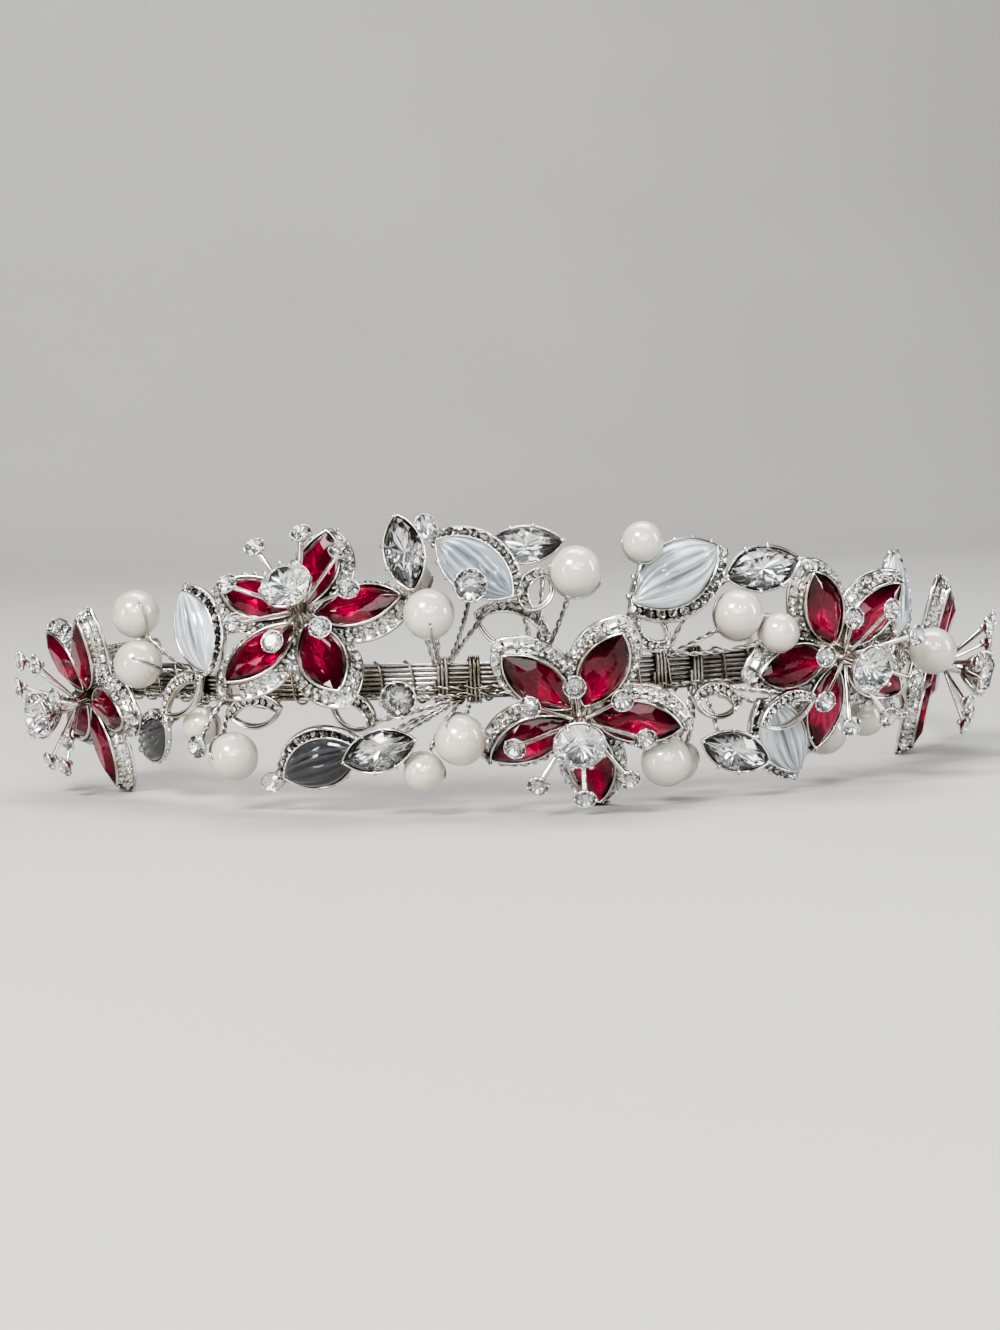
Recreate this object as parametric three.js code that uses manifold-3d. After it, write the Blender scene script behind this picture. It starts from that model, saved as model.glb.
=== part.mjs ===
// A crystal tiara: a sprung arch of parallel silver wires that carries five flowers with red petal stones,
// and sprays of pearls, satin glass leaves and clear crystals on twisted wire stems. Millimetres and degrees.
//
// The arch frame has its origin at the middle of the arch's round front. The arch lies in the plane z = 0, its crown
// points to -y and its two arms run back along +y. The whole is then laid down as it rests on a table, on its lower
// flowers and stones, with the origin under the middle of its bounding box.
import * as THREE from "three";
import { mergeVertices } from "three/addons/utils/BufferGeometryUtils.js";
import Module from "manifold-3d";

const wasm = await Module();
wasm.setup();

// Driving dimensions
const GAP = 0.3; // between two pieces that touch on the real thing
const BAND = {
  radius: 74, // of the middle line of the round front
  frontHalfAngle: 78,
  armRadius: 130,
  armTurn: 33,
  wires: 8,
  wire: 0.75,
  valley: 0.2, // how far out the groove between two wires lies
  frontSteps: 20,
  armSteps: 4,
};
const END_EYE = { length: 9, width: 6.4, thickness: 1, hole: 2.4, sides: 12 };
const STEM = { radius: 0.5, sides: 5, steps: 2, arch: 0.2, spread: 0.2, widest: 1 };
const WINDING = { wall: 0.8, length: 2.6, corner: 0.7 }; // the wire wound round the band where a stem starts
const PEARL = { large: 8, small: 6.4, sides: 10, stacks: 6 };
const PETAL = {
  count: 5,
  middle: 8.9, // from the flower's axis to the middle of a petal's rim
  length: 16.6,
  width: 11,
  outward: 0.7, // how much further out its foot lies than its rim
  rimLength: 14.4,
  rimWidth: 7.4,
  height: 2.9,
  wall: 0.4,
  seatDepth: 1.9,
  lift: 2, // degrees that the tip rises
  sides: 8,
};
const RED_STONE = { table: 0.62, keel: 0.35, crown: 1.1, pavilion: 1.5, sides: 8 };
const HUB = { radius: 4, thickness: 1.3, sides: 8 };
const CENTRE_STONE = { radius: 4, girdle: 12, crown: 1.7, pavilion: 3.4, mast: 1.3, sides: 8 };
const FIXING = { radius: 1.1, sides: 6 }; // the stem between a winding and the back of a flower
const STAMEN = {
  count: 8,
  turn: 29, // from the first petal to the first stamen
  ring: 9.8,
  rise: 10.8,
  start: 5, // height on the mast where a stamen leaves it
  arch: 7.6, // height of the bend in its strip
  strip: 0.9,
  thickness: 0.5,
  stone: 1.8,
  sides: 8,
};
const LEAF = { length: 15.5, width: 8, border: 1.9, plate: 1.2, dome: 1.9, drop: 2, sides: 10 };
const OPEN_LEAF = { rim: 0.9, border: 2.2, thickness: 1.3, sides: 8 };
const NAVETTE = { length: 12, width: 6, rim: 0.5, depth: 1.8, girdle: 0.5, crown: 1.2, table: 0.6, sides: 8 };

// How the tiara lies on a table: the turns about x and y that bring its two end flowers and its middle one down
const REST = { pitch: -1.452, roll: 0.07 };

// Flowers: where the hub sits on the arch and how it faces
const FLOWERS = [
  { name: "flower_1", angle: -69, height: -2.3, out: 5, yaw: 0, pitch: -15, spin: -10, root: 0 },
  { name: "flower_2", angle: -30.3, height: 9.5, out: 6.5, yaw: 9, pitch: 34.5, spin: 11.4, root: 2.6 },
  { name: "flower_3", angle: 0.4, height: -4.5, out: 6, yaw: -11.6, pitch: -25.7, spin: 63.7, root: -1.5 },
  { name: "flower_4", angle: 33.4, height: 2, out: 6.5, yaw: -11, pitch: -14, spin: 46, root: 1 },
  { name: "flower_5", angle: 66.5, height: -2.2, out: 4, yaw: 0, pitch: -15, spin: 46, root: 0 },
];

// Sprays: each is wired to the band at its root and carries its pearls and its set pieces
const SPRAYS = [
  {
    name: "spray_left_upper",
    root: { angle: -50, height: 1.6 },
    pearls: [
      { name: "pearl_1", angle: -56.1, height: 11.6, out: 7, size: "large" },
      { name: "pearl_2", angle: -54.5, height: 3.4, out: 8.5, size: "large" },
    ],
    set: [
      { kind: "leaf", angle: -45.8, height: 8.6, out: 5.5, yaw: 0, pitch: 8, spin: 117 },
      { kind: "openLeaf", angle: -48.6, height: -1.6, out: 5.6, yaw: 0, pitch: 0, spin: 212, length: 12, width: 6.5 },
    ],
  },
  {
    name: "spray_left_lower",
    root: { angle: -45, height: -2.6 },
    pearls: [
      { name: "pearl_3", angle: -40.5, height: -11.4, out: 7, size: "large" },
      { name: "pearl_4", angle: -48.3, height: -7, out: 2.6, size: "small" },
    ],
    set: [
      {
        kind: "leaf",
        angle: -56,
        height: -9.4,
        out: 3.3,
        yaw: -10,
        pitch: -10,
        spin: 205,
        size: 0.85,
        via: { angle: -50.5, height: -2.6, out: 1.8 },
      },
      { kind: "round", angle: -45.4, height: -9.6, out: 6.5, yaw: 0, pitch: -10, spin: 0, radius: 1.9 },
      { kind: "openLeaf", angle: -38, height: -4, out: 5, yaw: 0, pitch: -10, spin: 186, length: 11, width: 6 },
    ],
  },
  {
    name: "spray_middle_left_upper",
    root: { angle: -15.5, height: 2.6 },
    pearls: [
      { name: "pearl_5", angle: -15.7, height: 10.8, out: 9, size: "large" },
      { name: "pearl_6", angle: -18.8, height: 15.9, out: -0.2, size: "small" },
    ],
    set: [
      {
        kind: "navette",
        angle: -18,
        height: 20,
        out: 7,
        yaw: -6,
        pitch: 12,
        spin: 105,
        via: { angle: -14.8, height: 10, out: 1.6 },
      },
      { kind: "leaf", angle: -10.7, height: 17.5, out: 7.4, yaw: 0, pitch: 10, spin: 142, tipDrop: 118 },
      {
        kind: "round",
        angle: -11,
        height: 15,
        out: 11.4,
        yaw: 0,
        pitch: 5,
        spin: 0,
        radius: 2.6,
        via: { angle: -12, height: 8.5, out: 6.5 },
      },
    ],
  },
  {
    name: "spray_middle_left_lower",
    root: { angle: -11.6, height: -2.6 },
    pearls: [
      { name: "pearl_7", angle: -12.8, height: -8.7, out: 9, size: "large" },
      {
        name: "pearl_8",
        angle: -17,
        height: -13.6,
        out: 8,
        size: "small",
        via: { angle: -15.8, height: -7, out: 3 },
      },
    ],
    set: [
      { kind: "navette", angle: -21.3, height: -9.7, out: 9, yaw: 0, pitch: -8, spin: 16 },
      { kind: "round", angle: -19.2, height: -2.2, out: 8, yaw: 0, pitch: 0, spin: 0, radius: 2.9 },
      { kind: "leaf", angle: -29.2, height: -11.8, out: 5.5, yaw: 0, pitch: -20, spin: 201, tipDrop: 201 },
      { kind: "openLeaf", angle: -25.4, height: -4.4, out: 4.5, yaw: 0, pitch: 0, spin: 150, length: 8.5, width: 6 },
    ],
  },
  {
    name: "spray_middle_upper",
    root: { angle: -4, height: 2.6 },
    pearls: [{ name: "pearl_9", angle: 0.2, height: 16.6, out: 8, size: "large" }],
    set: [
      { kind: "navette", angle: -5.1, height: 20, out: 1.6, yaw: 0, pitch: 28, spin: 4 },
      { kind: "openLeaf", angle: -4.1, height: 13.8, out: 5.2, yaw: 0, pitch: 10, spin: 245, length: 7.5, width: 6 },
      { kind: "openLeaf", angle: -6.7, height: 8.4, out: 3, yaw: 0, pitch: 0, spin: 160, length: 13, width: 8 },
    ],
  },
  {
    name: "spray_middle_right_upper",
    root: { angle: 4.8, height: 2.6 },
    pearls: [{ name: "pearl_10", angle: 7.6, height: 20.8, out: 8.6, size: "small" }],
    set: [
      {
        kind: "leaf",
        angle: 12,
        height: 15.2,
        out: 5,
        yaw: 0,
        pitch: 12,
        spin: 28,
        size: 1.2,
        via: { angle: 7.5, height: 8, out: 2.5 },
      },
      { kind: "openLeaf", angle: 9, height: 6.6, out: 4.5, yaw: 0, pitch: 0, spin: -40, length: 8, width: 6 },
    ],
  },
  {
    name: "spray_right_upper",
    root: { angle: 11.5, height: 2.6 },
    pearls: [
      { name: "pearl_11", angle: 19.5, height: 8.7, out: 7, size: "large" },
      {
        name: "pearl_12",
        angle: 23.8,
        height: 5.6,
        out: 9.6,
        size: "small",
        via: { angle: 19.5, height: 2.4, out: 5 },
      },
    ],
    set: [
      {
        kind: "navette",
        angle: 23.9,
        height: 15,
        out: 4.2,
        yaw: -10,
        pitch: 20,
        spin: 10,
        size: 1.15,
        via: { angle: 15, height: 13, out: 2.5 },
      },
    ],
  },
  {
    name: "spray_middle_right_lower",
    root: { angle: 16.5, height: -2.6 },
    pearls: [
      { name: "pearl_13", angle: 10.3, height: -13.8, out: 5.8, size: "large" },
      { name: "pearl_14", angle: 13.9, height: -14.6, out: 0, size: "small" },
    ],
    set: [
      { kind: "navette", angle: 18.6, height: -12.4, out: 6, yaw: -12, pitch: -14, spin: -20 },
      { kind: "leaf", angle: 26.6, height: -11.2, out: 4, yaw: -8, pitch: -15, spin: -58 },
      { kind: "openLeaf", angle: 24.4, height: -6.6, out: 9.2, yaw: 0, pitch: -10, spin: 200, length: 12, width: 6 },
      { kind: "openLeaf", angle: 17, height: -4.8, out: 5, yaw: 0, pitch: 0, spin: 170, length: 9, width: 6 },
    ],
  },
  {
    name: "spray_right_lower",
    root: { angle: 42, height: -2.6 },
    pearls: [
      { name: "pearl_15", angle: 37.5, height: -12, out: 0.7, size: "large" },
      { name: "pearl_16", angle: 44.5, height: -10.5, out: 3, size: "small" },
    ],
    set: [{ kind: "openLeaf", angle: 49, height: -8, out: 5, yaw: 0, pitch: 0, spin: -30, length: 11, width: 6 }],
  },
  {
    name: "spray_far_right",
    root: { angle: 51, height: 1 },
    pearls: [{ name: "pearl_17", angle: 50.5, height: 0.3, out: 12, size: "large" }],
    set: [
      { kind: "leaf", angle: 50.5, height: 10, out: 4.5, yaw: 0, pitch: 10, spin: 72 },
      { kind: "openLeaf", angle: 48.5, height: 0, out: 6, yaw: 0, pitch: 0, spin: 20, length: 9, width: 6 },
    ],
  },
];

const SILVER = new THREE.MeshStandardMaterial({ color: 0xc9c9c6, roughness: 0.25, metalness: 1 });
const RED_GLASS = new THREE.MeshStandardMaterial({ color: 0xa30f22, roughness: 0.05, metalness: 0.1 });
const PEARL_WHITE = new THREE.MeshStandardMaterial({ color: 0xefe9dc, roughness: 0.25, metalness: 0 });

const rad = THREE.MathUtils.degToRad;
const vector = (x, y, z) => new THREE.Vector3(x, y, z);
const turnX = (angle) => new THREE.Matrix4().makeRotationX(rad(angle));
const turnY = (angle) => new THREE.Matrix4().makeRotationY(rad(angle));
const turnZ = (angle) => new THREE.Matrix4().makeRotationZ(rad(angle));
const shift = (x, y, z) => new THREE.Matrix4().makeTranslation(x, y, z);
const chain = (...matrices) => matrices.reduce((all, next) => all.clone().multiply(next));

// A closed geometry as a solid to join and cut
function solidOf(geometry, matrix = new THREE.Matrix4()) {
  const loose = geometry.index ? geometry.toNonIndexed() : geometry;
  const bare = new THREE.BufferGeometry().setAttribute("position", loose.getAttribute("position").clone());
  const merged = mergeVertices(bare.applyMatrix4(matrix), 1e-4);
  return new wasm.Manifold(
    new wasm.Mesh({
      numProp: 3,
      vertProperties: merged.getAttribute("position").array,
      triVerts: new Uint32Array(merged.index.array),
    }),
  );
}

function joined(solids) {
  return solids.reduce((all, next) => all.add(next));
}

function meshOf(name, solid, material) {
  const { vertProperties, triVerts } = solid.getMesh();
  const geometry = new THREE.BufferGeometry()
    .setAttribute("position", new THREE.BufferAttribute(vertProperties, 3))
    .setIndex(new THREE.BufferAttribute(triVerts, 1));
  geometry.computeVertexNormals();
  const mesh = new THREE.Mesh(geometry, material);
  mesh.name = name;
  return mesh;
}

// A closed skin over rings of points, each ring counterclockwise as seen from the last one
function loft(rings) {
  const count = rings[0].length;
  const last = rings[rings.length - 1];
  const corners = [];
  for (let k = 1; k < count - 1; k++) {
    corners.push(rings[0][0], rings[0][k + 1], rings[0][k]);
    corners.push(last[0], last[k], last[k + 1]);
  }
  for (let r = 0; r < rings.length - 1; r++) {
    for (let k = 0; k < count; k++) {
      const next = (k + 1) % count;
      const [low, lowNext, high, highNext] = [rings[r][k], rings[r][next], rings[r + 1][k], rings[r + 1][next]];
      corners.push(low, lowNext, highNext, low, highNext, high);
    }
  }
  return new THREE.BufferGeometry().setFromPoints(corners);
}

// Two arcs that meet in a point at each end of the x axis, counterclockwise from the +x tip
function navetteOutline(length, width, sides) {
  const radius = (length * length + width * width) / (4 * width);
  const reach = Math.asin(length / 2 / radius);
  const points = [];
  for (const side of [1, -1]) {
    for (let k = 0; k < sides / 2; k++) {
      const turn = reach * (1 - (4 * k) / sides);
      points.push([side * radius * Math.sin(turn), side * (radius * Math.cos(turn) - radius + width / 2)]);
    }
  }
  return points;
}

// A ring of that outline at height z, moved sideways by dy
function navetteRing(length, width, sides, z, dy = 0) {
  return navetteOutline(length, width, sides).map(([x, y]) => vector(x, y + dy, z));
}

// A body of revolution about z, from a profile of [radius, height] pairs that rises along its outside
function turned(profile, sides) {
  const lathe = new THREE.LatheGeometry(profile.map(([x, y]) => new THREE.Vector2(x, y)), sides);
  return solidOf(lathe, turnX(90));
}

// A round wire along a curve
function wireAlong(curve, { radius, sides, steps }) {
  const section = new THREE.Shape();
  for (let k = 0; k < sides; k++) {
    const turn = (k / sides) * 2 * Math.PI;
    section[k ? "lineTo" : "moveTo"](radius * Math.cos(turn), radius * Math.sin(turn));
  }
  return solidOf(new THREE.ExtrudeGeometry(section, { steps, extrudePath: curve, bevelEnabled: false }));
}

// The place of a piece: round the arch, across the band and out from it, then turned to face its own way
function placing({ angle, height, out, yaw = 0, pitch = 0, spin = 0 }) {
  return chain(
    turnZ(angle),
    shift(0, -(BAND.radius + out), height),
    turnX(90),
    turnY(yaw),
    turnX(-pitch),
    turnZ(spin),
  );
}

// The turns of wire round the band that hold a flower or a spray to it
function winding({ angle }) {
  const { wall, length, corner } = WINDING;
  const inside = { x: BAND.wire / 2 + GAP, y: (BAND.wires * BAND.wire) / 2 + GAP };
  const outside = { x: inside.x + wall, y: inside.y + wall };
  const section = new THREE.Shape([
    new THREE.Vector2(outside.x, corner - outside.y),
    new THREE.Vector2(outside.x, outside.y - corner),
    new THREE.Vector2(outside.x - corner, outside.y),
    new THREE.Vector2(corner - outside.x, outside.y),
    new THREE.Vector2(-outside.x, outside.y - corner),
    new THREE.Vector2(-outside.x, corner - outside.y),
    new THREE.Vector2(corner - outside.x, -outside.y),
    new THREE.Vector2(outside.x - corner, -outside.y),
  ]);
  section.holes.push(
    new THREE.Path([
      new THREE.Vector2(inside.x, -inside.y),
      new THREE.Vector2(-inside.x, -inside.y),
      new THREE.Vector2(-inside.x, inside.y),
      new THREE.Vector2(inside.x, inside.y),
    ]),
  );
  const ring = new THREE.ExtrudeGeometry(section, { depth: length, bevelEnabled: false });
  return solidOf(ring, chain(placing({ angle, height: 0, out: 0 }), turnY(-90), shift(0, 0, -length / 2)));
}

// Where stems leave a winding: on its outer face, at a height across the band
function stemStart({ angle, height }) {
  const out = BAND.wire / 2 + GAP + WINDING.wall / 2;
  return vector(0, 0, 0).applyMatrix4(placing({ angle, height, out }));
}

// The stem from a winding to what it carries: past a place of its own, or else bowed outwards
function stemCurve(root, end, { angle, via }) {
  const { spread, widest } = STEM;
  const turn = THREE.MathUtils.clamp((angle - root.angle) * spread, -widest, widest);
  const start = stemStart({ ...root, angle: root.angle + turn });
  const outward = vector(start.x, start.y, 0).normalize();
  const bowed = start.clone().lerp(end, 0.5).addScaledVector(outward, start.distanceTo(end) * STEM.arch);
  const middle = via ? vector(0, 0, 0).applyMatrix4(placing(via)) : bowed;
  return new THREE.QuadraticBezierCurve3(start, middle, end);
}

// The band

// The middle line of the band: the round front and, tangent to it, an arm of larger radius at each end
function bandStations() {
  const { radius, frontHalfAngle, armRadius, armTurn, frontSteps, armSteps } = BAND;
  const stations = [];
  const add = (centre, arcRadius, heading) => {
    const outward = vector(Math.sin(rad(heading)), -Math.cos(rad(heading)), 0);
    stations.push({ point: centre.clone().addScaledVector(outward, arcRadius), outward });
  };
  const armCentre = (side) =>
    vector(side * Math.sin(rad(frontHalfAngle)), -Math.cos(rad(frontHalfAngle)), 0).multiplyScalar(radius - armRadius);
  for (let k = armSteps; k > 0; k--) {
    add(armCentre(-1), armRadius, -frontHalfAngle - (armTurn * k) / armSteps);
  }
  for (let k = 0; k <= frontSteps; k++) {
    add(vector(0, 0, 0), radius, frontHalfAngle * ((2 * k) / frontSteps - 1));
  }
  for (let k = 1; k <= armSteps; k++) {
    add(armCentre(1), armRadius, frontHalfAngle + (armTurn * k) / armSteps);
  }
  return stations;
}

// The section of the wires side by side: a ridge for each on the front, and the even back that lies on the hair
function bandSection() {
  const { wires, wire, valley } = BAND;
  const half = (wires * wire) / 2;
  const section = [[-wire / 2, half], [-wire / 2, -half]];
  for (let k = 0; k < wires; k++) {
    section.push([valley, -half + k * wire], [wire / 2, -half + (k + 0.5) * wire]);
  }
  section.push([valley, half]);
  return section.reverse();
}

// A flat lug with a hole for a hairpin, where the wires are pressed together at the end of an arm
function endEye({ point, outward }, side) {
  const { length, width, thickness, hole, sides } = END_EYE;
  const plate = new THREE.Shape();
  plate.moveTo(-1, -width / 2);
  plate.lineTo(length - width / 2, -width / 2);
  plate.absarc(length - width / 2, 0, width / 2, -Math.PI / 2, Math.PI / 2, false);
  plate.lineTo(-1, width / 2);
  const bore = new THREE.Path();
  bore.absarc(length - width / 2, 0, hole / 2, 0, 2 * Math.PI, true);
  plate.holes.push(bore);
  const flat = new THREE.ExtrudeGeometry(plate, { depth: thickness, bevelEnabled: false, curveSegments: sides / 2 });
  const along = vector(-outward.y, outward.x, 0).multiplyScalar(side);
  const across = vector(0, 0, 1);
  const basis = new THREE.Matrix4().makeBasis(along, across, along.clone().cross(across));
  return solidOf(flat, chain(shift(...point.toArray()), basis, shift(0, 0, -thickness / 2)));
}

function band() {
  const stations = bandStations();
  const section = bandSection();
  const rings = stations.map(({ point, outward }) =>
    section.map(([out, z]) => point.clone().addScaledVector(outward, out).setZ(z)),
  );
  const wires = solidOf(loft(rings));
  return joined([wires, endEye(stations[0], -1), endEye(stations[stations.length - 1], 1)]);
}

// The flowers

function petalFrame(index) {
  return chain(turnZ((360 / PETAL.count) * index), shift(PETAL.middle, 0, 0), turnY(-PETAL.lift));
}

// One petal: a sloping skirt up to the rim of the stone, and the seat inside the rim
function petal() {
  const { length, width, outward, rimLength, rimWidth, height, wall, seatDepth, sides } = PETAL;
  const foot = navetteRing(length, width, sides, 0).map(({ x, y, z }) => vector(x + outward, y, z));
  return solidOf(
    loft([
      navetteRing(rimLength - 2 * wall, rimWidth - 2 * wall, sides, height - seatDepth),
      navetteRing(rimLength - 2 * wall, rimWidth - 2 * wall, sides, height),
      navetteRing(rimLength, rimWidth, sides, height),
      foot,
    ].reverse()),
  );
}

// The red stone of one petal: table, eight crown facets and a keel below
function redStone() {
  const { rimLength, rimWidth, wall, height, seatDepth } = PETAL;
  const { table, keel, crown, pavilion, sides } = RED_STONE;
  const length = rimLength - 2 * (wall + GAP);
  const width = rimWidth - 2 * (wall + GAP);
  const girdle = height - seatDepth + GAP + pavilion;
  return solidOf(
    loft([
      navetteRing(length * keel, width * keel, sides, girdle - pavilion),
      navetteRing(length, width, sides, girdle),
      navetteRing(length * table, width * table, sides, girdle + crown),
    ]),
  );
}

function stamen(index) {
  const { count, turn, ring, rise, start, arch, strip, thickness, stone, sides } = STAMEN;
  const curve = new THREE.QuadraticBezierCurve3(vector(1, 0, start), vector(ring / 2, 0, arch), vector(ring, 0, rise));
  const flat = loft(
    curve.getPoints(2).map(({ x, z }) => [
      vector(x, -strip / 2, z - thickness / 2),
      vector(x, strip / 2, z - thickness / 2),
      vector(x, strip / 2, z + thickness / 2),
      vector(x, -strip / 2, z + thickness / 2),
    ]),
  );
  const cup = turned([[0, -1], [stone, 0.1], [stone * 0.6, 1.1], [0, 1.1]], sides);
  const seat = chain(shift(ring, 0, rise), turnY(12), turnZ(180 / sides));
  return solidOf(flat).add(cup.transform(seat.elements)).transform(turnZ(turn + (360 / count) * index).elements);
}

function flowerFrame(flower) {
  const local = placing(flower).invert();
  const root = { angle: flower.angle, height: flower.root };
  const hub = turned([[0, -HUB.thickness], [HUB.radius, -HUB.thickness], [HUB.radius, 0.6], [0, 0.6]], HUB.sides);
  const { radius, girdle, crown, pavilion, mast, sides } = CENTRE_STONE;
  const centre = turned(
    [
      [0, girdle - pavilion],
      [mast, girdle - pavilion],
      [radius, girdle - 0.5],
      [radius, girdle],
      [radius * 0.58, girdle + crown],
      [0, girdle + crown],
    ],
    sides,
  );
  const mastTop = girdle - pavilion + 0.4;
  const middle = turned([[0, 0], [mast, 0], [mast, mastTop], [0, mastTop]], STAMEN.count).transform(
    turnZ(STAMEN.turn - 180 / STAMEN.count).elements,
  );
  const petals = [...Array(PETAL.count).keys()].map((k) => petal().transform(petalFrame(k).elements));
  const stamens = [...Array(STAMEN.count).keys()].map(stamen);
  const hubPlace = vector(0, 0, -HUB.thickness / 2).applyMatrix4(placing(flower));
  const post = new THREE.LineCurve3(stemStart(root), hubPlace);
  const fixing = joined([winding(root), wireAlong(post, { ...FIXING, steps: 1 })]).transform(local.elements);
  return joined([hub, middle, centre, fixing, ...petals, ...stamens]);
}

function flowerGroup(flower) {
  const group = new THREE.Group();
  group.add(meshOf(flower.name, flowerFrame(flower), SILVER));
  for (let k = 0; k < PETAL.count; k++) {
    const stone = meshOf(`${flower.name}_red_stone_${k + 1}`, redStone(), RED_GLASS);
    stone.applyMatrix4(petalFrame(k));
    group.add(stone);
  }
  group.applyMatrix4(placing(flower));
  return group;
}

// The pieces set on the sprays. Each lies in its own xy plane, faces +z and points along +x

// A satin glass leaf on a plate, with a wider jewelled border on its right-hand side and a drop at its tip
function leaf({ tipDrop, spin }) {
  const { length, width, border, plate, dome, drop, sides } = LEAF;
  const back = solidOf(
    loft([
      navetteRing(length + 1.2, width + border, sides, 0, -border / 2),
      navetteRing(length + 1.2, width + border, sides, plate, -border / 2),
    ]),
  );
  const glass = solidOf(
    loft([
      navetteRing(length - 1, width, sides, plate / 2),
      navetteRing(length - 1, width, sides, plate + dome * 0.35),
      navetteRing(length * 0.62, width * 0.56, sides, plate + dome),
    ]),
  );
  if (tipDrop === undefined) return back.add(glass);
  const stone = turned([[0, -0.6], [drop * 0.8, 0.2], [drop, 1], [drop * 0.6, 1.9], [0, 2]], 8);
  const place = chain(shift(length / 2 + 0.4, 0, 0), turnZ(tipDrop - spin), shift(drop * 0.7, 0, 0));
  return joined([back, glass, stone.transform(place.elements)]);
}

// A leaf that is only its rim, broad and jewelled on its right-hand side
function openLeaf({ length, width }) {
  const { rim, border, thickness, sides } = OPEN_LEAF;
  const outer = solidOf(loft([navetteRing(length, width, sides, 0), navetteRing(length, width, sides, thickness)]));
  const inLength = length - 3 * rim;
  const inWidth = width - rim - border;
  const dy = (border - rim) / 2;
  const inner = solidOf(
    loft([navetteRing(inLength, inWidth, sides, -1, dy), navetteRing(inLength, inWidth, sides, thickness + 1, dy)]),
  );
  return outer.subtract(inner);
}

// A clear pointed crystal with its setting
function navette() {
  const { length, width, rim, depth, girdle, crown, table, sides } = NAVETTE;
  const full = [length + 2 * rim, width + 2 * rim];
  return solidOf(
    loft([
      navetteRing(length * 0.5, width * 0.5, sides, 0),
      navetteRing(...full, sides, depth),
      navetteRing(...full, sides, depth + girdle),
      navetteRing(length * table, width * table, sides, depth + girdle + crown),
    ]),
  );
}

// A clear round crystal in its cup
function round({ radius }) {
  const profile = [[0, 0], [0.5, 0], [1, 0.6], [1, 0.75], [0.6, 1.15], [0, 1.15]];
  return turned(profile.map(([x, y]) => [x * radius, y * radius]), 8);
}

const SET_PIECES = { leaf, openLeaf, navette, round };

// Where a stem enters a set piece: near its base end, or under its middle
const STEM_ENDS = {
  leaf: vector(-LEAF.length * 0.36, 0, LEAF.plate / 2),
  openLeaf: null,
  navette: vector(-NAVETTE.length * 0.22, 0, NAVETTE.depth * 0.5),
  round: vector(0, 0, 0.6),
};

function setPlace(item) {
  const size = item.size ?? 1;
  return placing(item).scale(vector(size, size, size));
}

function stemEnd(item) {
  const end = STEM_ENDS[item.kind] ?? vector(-item.length / 2 + OPEN_LEAF.rim, 0, OPEN_LEAF.thickness / 2);
  return end.clone().applyMatrix4(setPlace(item));
}

function pearlPlace(pearl) {
  return vector(0, 0, 0).applyMatrix4(placing(pearl));
}

// The stem of a pearl stops short of it by the gap
function pearlStem(root, pearl) {
  const curve = stemCurve(root, pearlPlace(pearl), pearl);
  const reach = PEARL[pearl.size] / 2 + GAP + STEM.radius / 2;
  curve.v2.addScaledVector(curve.v1.clone().sub(curve.v2).normalize(), reach);
  return wireAlong(curve, STEM);
}

function spray({ root, pearls, set }) {
  const parts = [winding(root)];
  for (const pearl of pearls) parts.push(pearlStem(root, pearl));
  for (const item of set) {
    parts.push(SET_PIECES[item.kind](item).transform(setPlace(item).elements));
    parts.push(wireAlong(stemCurve(root, stemEnd(item), item), STEM));
  }
  return joined(parts);
}

function pearlMesh(pearl) {
  const ball = new THREE.SphereGeometry(PEARL[pearl.size] / 2, PEARL.sides, PEARL.stacks);
  const mesh = new THREE.Mesh(ball, PEARL_WHITE);
  mesh.name = pearl.name;
  mesh.position.copy(pearlPlace(pearl));
  return mesh;
}

const arch = new THREE.Group();
arch.add(meshOf("band", band(), SILVER));
for (const flower of FLOWERS) arch.add(flowerGroup(flower));
for (const item of SPRAYS) {
  arch.add(meshOf(item.name, spray(item), SILVER));
  for (const pearl of item.pearls) arch.add(pearlMesh(pearl));
}

// Laid down on the table: the lowest point at z = 0, the middle of the box over the origin
arch.rotation.set(rad(REST.pitch), rad(REST.roll), 0);
arch.updateMatrixWorld(true);
const box = new THREE.Box3().setFromObject(arch, true);
arch.position.set(-(box.min.x + box.max.x) / 2, -(box.min.y + box.max.y) / 2, -box.min.z);

const tiara = new THREE.Group();
tiara.add(arch);
export default tiara;
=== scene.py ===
import math

import bmesh
import bpy
from mathutils import Matrix, Vector


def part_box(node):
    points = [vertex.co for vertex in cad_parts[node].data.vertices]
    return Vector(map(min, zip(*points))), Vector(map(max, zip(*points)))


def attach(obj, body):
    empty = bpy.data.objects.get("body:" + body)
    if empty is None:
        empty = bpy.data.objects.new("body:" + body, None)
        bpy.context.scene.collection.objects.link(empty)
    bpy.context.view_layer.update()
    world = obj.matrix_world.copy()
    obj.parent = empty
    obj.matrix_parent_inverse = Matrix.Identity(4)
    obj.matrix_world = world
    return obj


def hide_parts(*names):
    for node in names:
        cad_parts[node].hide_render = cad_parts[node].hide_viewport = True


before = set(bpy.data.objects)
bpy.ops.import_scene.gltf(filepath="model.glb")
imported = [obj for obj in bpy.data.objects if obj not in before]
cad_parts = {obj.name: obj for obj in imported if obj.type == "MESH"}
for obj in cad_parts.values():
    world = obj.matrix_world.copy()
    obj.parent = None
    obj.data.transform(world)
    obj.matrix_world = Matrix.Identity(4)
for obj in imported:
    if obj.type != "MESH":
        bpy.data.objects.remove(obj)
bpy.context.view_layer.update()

scene = bpy.context.scene

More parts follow.
